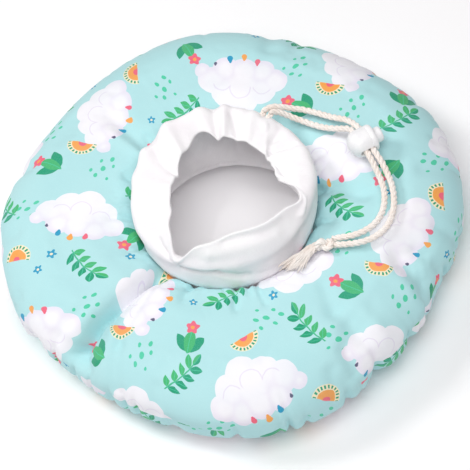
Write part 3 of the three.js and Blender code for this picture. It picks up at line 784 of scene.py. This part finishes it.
def flat_cut(angle, across):
    """Where each place lies on the flat panel that it was cut from, in millimetres"""
    degrees = np.arange(361)
    speed = np.hypot(CUT_SECTION[0] * sine(degrees), CUT_SECTION[1] * cosine(degrees))
    arc = np.concatenate([[0], np.cumsum((speed[1:] + speed[:-1]) / 2 * math.radians(1))])
    length = np.interp(across, degrees, arc)
    under = across > 180
    radius = CUT_MIDDLE + np.where(under, length - arc[270], arc[90] - length)
    x = radius * cosine(angle) + np.where(under, UNDERSIDE_CUT[0], 0)
    y = radius * sine(angle) + np.where(under, UNDERSIDE_CUT[1], 0)
    return np.stack([x, y], axis=-1)


def ring_grid(steps, sections):
    """Places on the ring's cloth, as angles and as degrees across its section"""
    angle = np.arange(steps) * 360 / steps
    across = np.arange(sections) * 360 / sections
    return np.meshgrid(angle, across, indexing="ij")


def padded_ring(material, lining):
    angle, across = ring_grid(RING_STEPS, SECTION_STEPS)
    inward = crease_depth(angle, across, CREASES, RING_THICKNESS)
    inward += crease_depth(angle, across, FOLDS, FOLD_SCALE)
    for count, centre, widths, reaches, depths in PUCKERS:
        away = turn_between(across, centre)
        for _ in range(count):
            at, width = random.uniform(0, 360), random.uniform(*widths)
            reach, depth = random.uniform(*reaches), random.uniform(*depths)
            inward += depth * bell(turn_between(angle, at), width) * bell(away, reach)
    drawn = ring_points(angle, across, 0.0, False)
    normal = ring_points(angle, across, 1.0, False) - drawn
    shaped = drawn - inward[..., None] * normal
    shaped += resample(resample(puff(material), RING_STEPS, 0), SECTION_STEPS, 1)
    shaped[..., 2] = np.maximum(shaped[..., 2], 0)
    corner_rows, corner_columns = grid_faces(RING_STEPS, SECTION_STEPS)
    faces = (corner_rows % RING_STEPS) * SECTION_STEPS + corner_columns % SECTION_STEPS
    corner_across = corner_columns * 360 / SECTION_STEPS
    middle = corner_across.mean(axis=1, keepdims=True)
    under = middle > 180
    corner_across = np.clip(corner_across, np.where(under, 180.001, 0), np.where(under, 360, 180))
    uv = flat_cut(corner_rows * 360 / RING_STEPS, corner_across)
    piece = add_mesh("ring_cover", shaped.reshape(-1, 3), faces[:, ::-1], material, uv[:, ::-1])
    piece.data.materials.append(lining)
    lined = under[:, 0] & (middle[:, 0] < LINING_TO)
    piece.data.polygons.foreach_set("material_index", lined.astype(np.int32))
    return piece


def resample(values, count, axis):
    """Values of a closed row read at another count of even steps"""
    waves = np.fft.rfft(values, axis=axis)
    size = list(waves.shape)
    size[axis] = count // 2 + 1 - size[axis]
    waves = np.concatenate([waves, np.zeros(size, complex)], axis=axis)
    return np.fft.irfft(waves, count, axis=axis) * count / values.shape[axis]


def puff(material):
    """How far Cloth blows the ring's cover up, held at its seams and where it rests"""
    angle, across = ring_grid(*CLOTH_STEPS)
    shaped = ring_points(angle, across, 0.0, False).reshape(-1, 3)
    across = across.ravel()
    rows, columns = grid_faces(*CLOTH_STEPS)
    faces = (rows % CLOTH_STEPS[0]) * CLOTH_STEPS[1] + columns % CLOTH_STEPS[1]
    piece = add_mesh("ring_blank", shaped, faces[:, ::-1], material)
    from_outer = np.minimum(across, 360 - across)
    seam = np.maximum(bell(from_outer, 5), bell(across - 180, 9))
    rest = np.clip(1 - shaped[:, 2] / 3, 0, 1)
    pinned = piece.vertex_groups.new(name="pinned")
    slack = piece.vertex_groups.new(name="slack")
    for index, weight in enumerate(np.maximum(0.75 * seam, rest)):
        if weight > 0.02:
            pinned.add([index], float(weight), "REPLACE")
    for index, weight in enumerate(bell(from_outer, 42)):
        slack.add([index], float(weight), "REPLACE")
    cloth = piece.modifiers.new("cloth", "CLOTH")
    settings = cloth.settings
    settings.quality = 4
    settings.mass = 0.15
    settings.tension_stiffness = settings.compression_stiffness = 12
    settings.shear_stiffness = 6
    settings.bending_stiffness = 0.2
    settings.use_pressure = True
    settings.uniform_pressure_force = 4
    settings.vertex_group_mass = "pinned"
    settings.pin_stiffness = 3
    settings.vertex_group_shrink = "slack"
    settings.shrink_min = 0.0
    settings.shrink_max = -0.07
    settings.effector_weights.gravity = 0
    cloth.collision_settings.use_collision = False
    cloth.collision_settings.use_self_collision = False
    scene = bpy.context.scene
    for number in range(CLOTH_FRAMES):
        scene.frame_set(number + 1)
    graph = bpy.context.evaluated_depsgraph_get()
    moved = np.empty(len(shaped) * 3)
    piece.evaluated_get(graph).data.vertices.foreach_get("co", moved)
    shift = moved.reshape(-1, 3) / MM - shaped
    size = np.linalg.norm(shift, axis=1, keepdims=True) + 1e-9
    shift *= CLOTH_CAP * np.tanh(size / CLOTH_CAP) / size
    print("cloth moved", round(float(size.mean()), 2), round(float(size.max()), 2), "mm")
    scene.frame_set(1)
    discard(piece)
    return shift.reshape(*CLOTH_STEPS, 3)


# Cords
def smooth_line(points, step):
    """Points a step apart on a centripetal Catmull-Rom curve"""
    points = np.asarray(points, float)
    padded = np.vstack([2 * points[0] - points[1], points, 2 * points[-1] - points[-2]])
    pieces = []
    for index in range(len(points) - 1):
        p0, p1, p2, p3 = padded[index : index + 4]
        d0, d1, d2 = (math.sqrt(np.linalg.norm(b - a)) for a, b in ((p0, p1), (p1, p2), (p2, p3)))
        start = ((p1 - p0) / d0 - (p2 - p0) / (d0 + d1) + (p2 - p1) / d1) * d1
        end = ((p2 - p1) / d1 - (p3 - p1) / (d1 + d2) + (p3 - p2) / d2) * d1
        pieces.append(hermite(np.linspace(0, 1, 40, endpoint=False)[:, None], p1, p2, start, end))
    dense = np.vstack([*pieces, points[-1:]])
    length = distances(dense)
    count = max(2, round(length[-1] / step) + 1)
    even = np.linspace(0, length[-1], count)
    return np.stack([np.interp(even, length, dense[:, axis]) for axis in range(3)], axis=1), even


def frames(line):
    """Directions across a line, carried along it without twist"""
    tangent = unit(np.gradient(line, axis=0))
    normal = np.zeros_like(line)
    first = np.cross(tangent[0], (0, 0, 1))
    if np.linalg.norm(first) < 0.1:
        first = np.cross(tangent[0], (0, 1, 0))
    normal[0] = unit(first)
    for index in range(1, len(line)):
        before = normal[index - 1]
        normal[index] = unit(before - tangent[index] * np.dot(before, tangent[index]))
    return tangent, normal, np.cross(tangent, normal)


class Heap:
    """Points, faces and coordinates of one mesh, gathered from many tubes"""

    def __init__(self):
        self.points, self.faces, self.uv, self.count = [], [], [], 0

    def tube(self, line, radius, sides, along):
        """Closed tube along a line: radius is one number for each point"""
        _, normal, binormal = frames(line)
        angle = (np.arange(sides) * 2 * np.pi / sides)[:, None]
        spokes = normal[:, None] * np.cos(angle) + binormal[:, None] * np.sin(angle)
        rings = line[:, None] + spokes * np.asarray(radius)[:, None, None]
        self.points.append(rings.reshape(-1, 3))
        rows, columns = grid_faces(len(line), sides, close_rows=False)
        faces = rows * sides + columns % sides + self.count
        self.faces.extend(faces.tolist())
        pairs = np.stack([np.asarray(along)[rows], columns / sides * 6], axis=-1)
        self.uv.extend(pairs.reshape(-1, 2).tolist())
        for start, order in ((0, -1), ((len(line) - 1) * sides, 1)):
            cap = list(range(start, start + sides))[::order]
            self.faces.append([self.count + index for index in cap])
            self.uv.extend([(along[0 if start == 0 else -1], 0)] * sides)
        self.count += len(line) * sides

    def build(self, name, material):
        return add_mesh(name, np.vstack(self.points), self.faces, material, self.uv, "Ply")


def add_rope(
    heap, line, even, phase, sides=8, radius=PLY_RADIUS, offset=PLY_OFFSET, pitch=TWIST_PITCH
):
    """Three plies laid round a line"""
    _, normal, binormal = frames(line)
    for ply in range(3):
        angle = (2 * np.pi * (even / pitch + ply / 3) + phase)[:, None]
        lane = line + offset * (normal * np.cos(angle) + binormal * np.sin(angle))
        swell = 1 + 0.05 * np.sin(even * 1.7 + ply * 2.1 + phase)
        heap.tube(lane, radius * swell, sides, even)


def sleeve_sections(angle):
    """Middle line of the sleeve's cloth at each angle: five points of radius and height"""
    angle = np.asarray(angle, float)
    inset = SEAM_CLEARANCE + CLOTH / 2

    def seam(across):
        point = ring_points(angle, across + 0 * angle, inset)
        radius = np.hypot(point[..., 0] - CENTRE[0], point[..., 1] - CENTRE[1])
        return np.stack([radius, point[..., 2]], axis=-1)

    height = lambda column: SEAM_HEIGHT + SLEEVE_RISE * periodic(SLEEVE, column, angle)
    flare = lambda column: NECK_HOLE_RADIUS + SLEEVE_FLARE * periodic(SLEEVE, column, angle)
    rim_radius = NECK_HOLE_RADIUS - RIM_TUCK * periodic(SLEEVE, 5, angle)
    rim_height = height(6)
    for at, width, push, lift in HEM_FOLDS:
        reach = bell(turn_between(angle, at), width)
        rim_radius = rim_radius + push * RIM_TUCK * reach
        rim_height = rim_height + lift * SLEEVE_RISE * reach
    return np.stack([
        seam(184), seam(167),
        np.stack([flare(1), height(2)], axis=-1),
        np.stack([flare(3), height(4)], axis=-1),
        np.stack([rim_radius, rim_height], axis=-1),
    ], axis=-2)


def sleeve_middle(angle, along):
    """Radius and height of the sleeve's middle line, with its folds, and its outward normal"""
    angle, along = np.broadcast_arrays(np.asarray(angle, float), np.asarray(along, float))
    sections = sleeve_sections(angle)
    line = spline(sections, along)
    slope = spline(sections, np.minimum(along + 0.01, 1))
    slope = unit(slope - spline(sections, np.maximum(along - 0.01, 0)))
    normal = np.stack([slope[..., 1], -slope[..., 0]], axis=-1)
    push = np.zeros_like(angle)
    around_scale = math.radians(1) * SLEEVE_MEAN_RADIUS
    for *fold, depth, width in SLEEVE_FOLDS:
        push += depth * stroke(angle, along, fold, around_scale, SLEEVE_LENGTH, width)
    for at, width, place, depth in GATHERS:
        push += depth * bell(turn_between(angle, at), width) * bell(along - place, 0.1)
    push *= np.clip(along / 0.12, 0, 1)
    return line + push[..., None] * normal, normal


def spline(sections, along):
    """Catmull-Rom line through five points, read from 0 to 1"""
    place = np.clip(along * 4, 0, 3.9999)
    index = place.astype(int)
    t = (place - index)[..., None]

    def read(shift):
        number = np.clip(index + shift, 0, 4)
        return np.take_along_axis(sections, number[..., None, None], axis=-2)[..., 0, :]

    p0, p1, p2, p3 = read(-1), read(0), read(1), read(2)
    v0, v1 = (p2 - p0) / 2, (p3 - p1) / 2
    cube, square = 2 * p1 - 2 * p2 + v0 + v1, -3 * p1 + 3 * p2 - 2 * v0 - v1
    return cube * t**3 + square * t**2 + v0 * t + p1


# Small gathers along the drawstring: angle, half-width, place along the section, height
GATHERS = [
    [random.uniform(*limits) for limits in ((0, 360), (2.2, 5.5), (0.6, 0.82), (-0.3, 0.3))]
    for _ in range(46)
] + [
    [EXIT_ANGLE + turn, 1.6, SHOULDER, depth]
    for turn, depth in ((-12, 0.3), (-8, -0.45), (7, 0.35), (11, -0.4))
]


def neck_sleeve(material):
    angle = np.arange(SLEEVE_STEPS) * 360 / SLEEVE_STEPS
    parts = ((0, 0.24, 10), (0.26, 0.62, 22), (0.635, 1, 34))
    along = np.concatenate([np.linspace(*part) for part in parts])
    middle, normal = sleeve_middle(angle[:, None], along[None, :])
    length = distances(middle, axis=1)
    away = length - length[:, [np.abs(along - SHOULDER).argmin()]]
    base = np.where(away < 0, CLOTH, HEM) / 2
    base = base + (CHANNEL / 2 - base) * bell(away, 0.8 * CHANNEL)
    hole = bell(turn_between(angle[:, None], EXIT_ANGLE), BUTTONHOLE_TURN)
    hole = hole * bell(away, BUTTONHOLE_HEIGHT)
    outer = middle + normal * (base - BUTTONHOLE_DEPTH * hole)[..., None]
    inner = middle - normal * base[..., None]
    tip = unit(np.stack([-normal[:, -1, 1], normal[:, -1, 0]], axis=-1))
    rim = [
        middle[:, -1] + base[:, -1:] * (cosine(turn) * normal[:, -1] + sine(turn) * tip)
        for turn in (45, 90, 135)
    ]
    rings = np.concatenate([outer, np.stack(rim, axis=1), inner[:, ::-1]], axis=1)
    columns = rings.shape[1]
    points = polar(rings[..., 0], angle[:, None], rings[..., 1])
    rows, across = grid_faces(SLEEVE_STEPS, columns)
    faces = (rows % SLEEVE_STEPS) * columns + across % columns
    total = length[:, -1:]
    back = 2 * total - length[:, ::-1] + 2
    cut = np.concatenate([length, total + [[0.6, 1.2, 1.8]], back, back[:, -1:] + 1.5], axis=1)
    around = rows * 360 / SLEEVE_STEPS * math.radians(1) * SLEEVE_CUT_RADIUS
    uv = np.stack([around, cut[rows % SLEEVE_STEPS, across]], axis=-1)
    return add_mesh("sleeve_cloth", points.reshape(-1, 3), faces, material, uv)


def loop_line():
    """Way of the drawstring inside the hem, out of the buttonhole at both ends"""
    def channel(angle):
        section, normal = sleeve_middle(angle, SHOULDER)
        section = section - LOOP_INSET * normal
        return polar(section[..., 0], angle, section[..., 1])

    start = channel(np.array([float(EXIT_ANGLE)]))[0]
    outward = np.array([cosine(EXIT_ANGLE), sine(EXIT_ANGLE), 0])
    ends = []
    for side in (1, -1):
        sideways = np.array([-outward[1], outward[0], 0]) * side
        place = lambda out, across: start + outward * out + sideways * across
        points = [place(EXIT_BEND + EXIT_STUB, EXIT_SPACING / 2)]
        for turn in (0, 30, 60):
            out = EXIT_BEND * (1 - sine(turn))
            points.append(place(out, EXIT_SPACING / 2 + EXIT_BEND * (1 - cosine(turn))))
        ends.append(points)
    radius = math.hypot(start[0] - CENTRE[0], start[1] - CENTRE[1])
    away = math.degrees((EXIT_SPACING / 2 + EXIT_BEND) / radius)
    arc = channel(EXIT_ANGLE + away + (360 - 2 * away) * np.linspace(0, 1, 181))
    return [*ends[0], *arc, *ends[1][::-1]]


# Cord lock
def arc_points(x, y, radius, start, end, count):
    turns = np.linspace(start, end, count)
    return [(x + radius * cosine(turn), y + radius * sine(turn)) for turn in turns]


def turned_profile(points, sides=72):
    """Closed body turned about its own axis, which runs along +X: points are radius, length"""
    profile = np.array(points, float)
    angle = np.arange(sides) * 2 * np.pi / sides
    inner = profile[1:-1]
    count = len(inner)
    rings = [
        np.stack([inner[:, 1], inner[:, 0] * math.cos(a), inner[:, 0] * math.sin(a)], axis=1)
        for a in angle
    ]
    ends = np.array([[profile[0, 1], 0, 0], [profile[-1, 1], 0, 0]])
    first = count * sides
    faces = []
    for row in range(sides):
        here, ahead = row * count, (row + 1) % sides * count
        for step in range(count - 1):
            faces.append([here + step, here + step + 1, ahead + step + 1, ahead + step])
    for row in range(sides):
        here, ahead = row * count, (row + 1) % sides * count
        faces.append([first, here, ahead])
        faces.append([first + 1, ahead + count - 1, here + count - 1])
    return np.vstack([*rings, ends]), faces


def stadium(start, end, height, depth):
    """Closed body of a long hole across the lock's axis"""
    radius = height / 2
    outline = arc_points(end - radius, 0, radius, -90, 90, 13)
    outline += arc_points(start + radius, 0, radius, 90, 270, 13)
    count = len(outline)
    points = [(x, side * depth / 2, z) for side in (-1, 1) for x, z in outline]
    faces = [[i, (i + 1) % count, count + (i + 1) % count, count + i] for i in range(count)]
    faces += [list(range(count))[::-1], list(range(count, 2 * count))]
    return np.array(points), faces


def cut_body(name, profile, hole, material):
    """Turned body of the lock with the cords' hole cut through it, put in its place"""
    body = add_mesh(name, *turned_profile(profile), material)
    through = stadium(*hole, WINDOW_HEIGHT, 1.4 * BARREL_DIAMETER)
    cutter = add_mesh(name + "_cutter", *through, material)
    for piece in (body, cutter):
        tidy = bmesh.new()
        tidy.from_mesh(piece.data)
        bmesh.ops.remove_doubles(tidy, verts=tidy.verts, dist=1e-7)
        bmesh.ops.recalc_face_normals(tidy, faces=tidy.faces)
        tidy.to_mesh(piece.data)
        tidy.free()
    cut = body.modifiers.new("cut", "BOOLEAN")
    cut.object = cutter
    cut.solver = "EXACT"
    bevel = body.modifiers.new("bevel", "BEVEL")
    bevel.width = LOCK_BEVEL * MM
    bevel.segments = 2
    bevel.limit_method = "ANGLE"
    bevel.angle_limit = math.radians(50)
    graph = bpy.context.evaluated_depsgraph_get()
    mesh = bpy.data.meshes.new_from_object(body.evaluated_get(graph))
    body.modifiers.clear()
    old = body.data
    body.data = mesh
    bpy.data.meshes.remove(old)
    discard(cutter)
    work = bmesh.new()
    work.from_mesh(mesh)
    for face in work.faces:
        face.smooth = True
    for seam in work.edges:
        angle = seam.calc_face_angle() if len(seam.link_faces) == 2 else math.pi
        seam.smooth = angle < math.radians(LOCK_SMOOTH)
    work.to_mesh(mesh)
    work.free()
    place = Matrix.Translation(Vector(LOCK_DOME_END) * MM)
    mesh.transform(place @ Matrix.Rotation(math.radians(LOCK_AXIS_ANGLE), 4, "Z"))
    mesh.update()
    return body


def lock_pieces(material):
    radius = BARREL_DIAMETER / 2
    dome = [
        (radius * sine(turn), BARREL_DOME * (1 - cosine(turn))) for turn in np.linspace(0, 90, 19)
    ]
    groove = [
        (radius - depth, GROOVE_AT + along)
        for depth, along in ((0, -0.3), (GROOVE_DEPTH, -0.1), (GROOVE_DEPTH, 0.1), (0, 0.3))
    ]
    edge = arc_points(radius - BARREL_EDGE, BARREL_END - BARREL_EDGE, BARREL_EDGE, 0, 90, 8)
    bore = BORE_DIAMETER / 2
    mouth = [(bore + 0.4, BARREL_END), (bore, BARREL_END - 0.4), (bore, LOCK_WALL), (0, LOCK_WALL)]
    barrel = cut_body("lock_barrel_body", [*dome, *groove, *edge, *mouth], WINDOW, material)
    radius = BUTTON_DIAMETER / 2
    foot = [(0, BUTTON_START), (radius - 0.3, BUTTON_START), (radius, BUTTON_START + 0.3)]
    edge = arc_points(radius - BUTTON_EDGE, BUTTON_END - BUTTON_EDGE, BUTTON_EDGE, 0, 90, 8)
    dish = [(2.2, BUTTON_END), (1.2, BUTTON_END - 0.25), (0, BUTTON_END - 0.35)]
    button = cut_body("lock_button_body", [*foot, *edge, *dish], SLOT, material)
    return barrel, button


def knot(material):
    """Overhand knot of the strands: rope along a trefoil, pulled tight"""
    heap = Heap()
    turn = Matrix.Rotation(math.radians(KNOT_TURN), 3, "Z")
    turn = turn @ Matrix.Rotation(math.radians(KNOT_LEAN), 3, "X")
    share = np.linspace(0.2, 2 * np.pi + 0.1, 150)
    points = np.stack([
        np.sin(share) + 2 * np.sin(2 * share), np.cos(share) - 2 * np.cos(2 * share),
        -1.2 * np.sin(3 * share),
    ], axis=1)
    line = KNOT_SCALE * points @ np.array(turn).T + np.array(KNOT_CENTRE)
    add_rope(heap, line, distances(line), phase=0.6, radius=0.94, offset=0.92, pitch=9)
    return heap.build("knot_turns", material)


def tassel(material, ring):
    """Yarns that leave the knot as two twisted strands, then fan out and lie on the ring"""
    heap = Heap()
    root = np.array(TASSEL_ROOT)
    left, between, right = (np.array(end) for end in (TASSEL_LEFT, TASSEL_MIDDLE, TASSEL_RIGHT))
    surface = BVHTree.FromObject(ring, bpy.context.evaluated_depsgraph_get())
    away = unit(root - np.array(KNOT_CENTRE))
    side = unit(np.cross(away, (0, 0, 1)))
    lift = np.cross(side, away)
    leftward = np.sign(np.dot(left - right, side))
    t = np.linspace(0, 1, YARN_POINTS)[:, None]
    loosened = np.clip((t - 0.2) / 0.4, 0, 1)
    twisted = 1 - loosened**2 * (3 - 2 * loosened)
    for number in range(YARNS):
        strand, ply = number % 2, number % 3
        share = np.clip((0.28, 0.72)[strand] + random.normal(0, 0.24), 0, 1)
        spread = (1 - share) ** 2 * left + 2 * share * (1 - share) * between + share**2 * right
        end = root + (spread - root) * random.uniform(0.74, 1.08)
        end = end + np.array([*random.normal(0, 0.9, 2), 0])
        start = root - away * 3.2 + side * (1.7, -1.7)[strand] * leftward
        middle = root * 0.45 + end * 0.55 + np.array([0, 0, random.uniform(0.6, 2.8)])
        line = (1 - t) ** 2 * start + 2 * t * (1 - t) * middle + t**2 * end
        angle = 2 * np.pi * (2.6 * t + ply / 3) + strand
        reach, lean = 0.55 * math.sqrt(random.uniform(0, 1)), random.uniform(0, 2 * np.pi)
        out = np.cos(angle) + reach * math.cos(lean)
        line = line + twisted * (side * out + lift * (np.sin(angle) + reach * math.sin(lean)))
        wave = random.uniform(0.1, 0.4) * np.sin(t * random.uniform(5, 11) + random.uniform(0, 6))
        line = line + wave * (1 - twisted) * np.array([away[1], -away[0], 0.4])
        layer = random.uniform(0.2, 2.4)
        for point in line:
            hit = surface.ray_cast(Vector((point[0], point[1], 90)) * MM, Vector((0, 0, -1)))
            if hit[0] is not None:
                point[2] = max(point[2], hit[0].z / MM + 0.35 + layer * 0.5)
        radius = random.uniform(0.3, 0.5)
        taper = radius * np.clip(1.15 - 0.6 * t[:, 0] ** 3, 0.3, 1)
        heap.tube(line, taper, 5, distances(line))
    return heap.build("tassel_yarns", material)


make_camera()
cotton = cord_cotton()
white_cotton = sleeve_cotton()
plastic = lock_plastic()


def rope_piece(name, route, step, phase, sides):
    line, even = smooth_line(route, step)
    heap = Heap()
    add_rope(heap, line, even, phase, sides)
    print(name, "length", round(float(even[-1]), 2))
    return heap.build(name, cotton), line, float(even[-1])


routes = (STRAND_OUTER, STRAND_INNER)
strands = [
    rope_piece(name, route, 0.62, phase, 8)
    for name, route, phase in zip(("strand_outer_rope", "strand_inner_rope"), routes, (0.4, 2.0))
]
loop = rope_piece("loop_rope", loop_line(), 1.0, 1.0, 7)[0]
barrel, button = lock_pieces(plastic)
ring = padded_ring(printed_cloth(), white_cotton)
sleeve = neck_sleeve(white_cotton)
turns = knot(cotton)
yarns = tassel(cotton, ring)

for piece, node, slot in (
    (ring, "padded_ring", "printed_cloth"),
    (sleeve, "neck_sleeve", "sleeve_cotton"),
    (loop, "drawstring_loop", "cord_cotton"),
    (strands[0][0], "strand_outer", "cord_cotton"),
    (strands[1][0], "strand_inner", "cord_cotton"),
    (barrel, "lock_barrel", "lock_plastic"),
    (button, "lock_button", "lock_plastic"),
    (turns, "cord_knot", "cord_cotton"),
    (yarns, "cord_tassel", "cord_cotton"),
):
    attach(piece, "button" if node == "lock_button" else "collar")
    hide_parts(node)

with_outer = [barrel, button, turns, yarns]
for (piece, line, length), route, others in zip(strands, routes, (with_outer, [])):
    path = [*line[::3], route[-1]]
    tuple(value * MM for value in route[0])
    [tuple(float(value) * MM for value in point) for point in path]
    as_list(others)


# Floor and light
def hang_lamp(data, place, aim, power):
    data.energy = power
    lamp = add_object(data.name, data)
    lamp.location = place
    lamp.rotation_euler = (Vector(aim) - Vector(place)).to_track_quat("-Z", "Y").to_euler()


def make_stage():
    shade = Shade("floor", 0.7, Specular_IOR_Level=0.2)
    spot = shade.noise(shade.place(), 3.0, 3)
    colour = shade.mix(shade.band(spot, 0.3, 0.7), srgb(255, 254, 255), srgb(254, 253, 254))
    corners = [(x * FLOOR_SIZE, y * FLOOR_SIZE, 0) for x, y in ((-1, -1), (1, -1), (1, 1), (-1, 1))]
    mesh = bpy.data.meshes.new("floor")
    mesh.from_pydata(corners, [], [(0, 1, 2, 3)])
    mesh.materials.append(shade.finish(colour))
    floor = add_object("floor", mesh)
    floor.location.z = -0.0002
    floor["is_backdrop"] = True

    world = bpy.data.worlds.new("world")
    world.use_nodes = True
    background = world.node_tree.nodes["Background"]
    background.inputs["Color"].default_value = (1.0, 0.985, 0.995, 1)
    background.inputs["Strength"].default_value = 0.32
    bpy.context.scene.world = world
    for name, place, size, power, colour in LAMPS:
        data = bpy.data.lights.new(name, "AREA")
        data.size = size
        data.color = colour
        hang_lamp(data, place, LAMP_AIM, power)
    data = bpy.data.lights.new("hollow", "SPOT")
    data.spot_size = math.radians(HOLLOW_CONE)
    data.spot_blend = 1.0
    data.shadow_soft_size = HOLLOW_SOFTNESS
    hang_lamp(data, HOLLOW_FROM, HOLLOW_AIM, HOLLOW_POWER)
    view = bpy.context.scene.view_settings
    view.view_transform = "Standard"
    view.look = "None"


make_stage()
new_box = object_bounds()
[[[float(v) for v in corner] for corner in box] for box in (cad_box, new_box)]
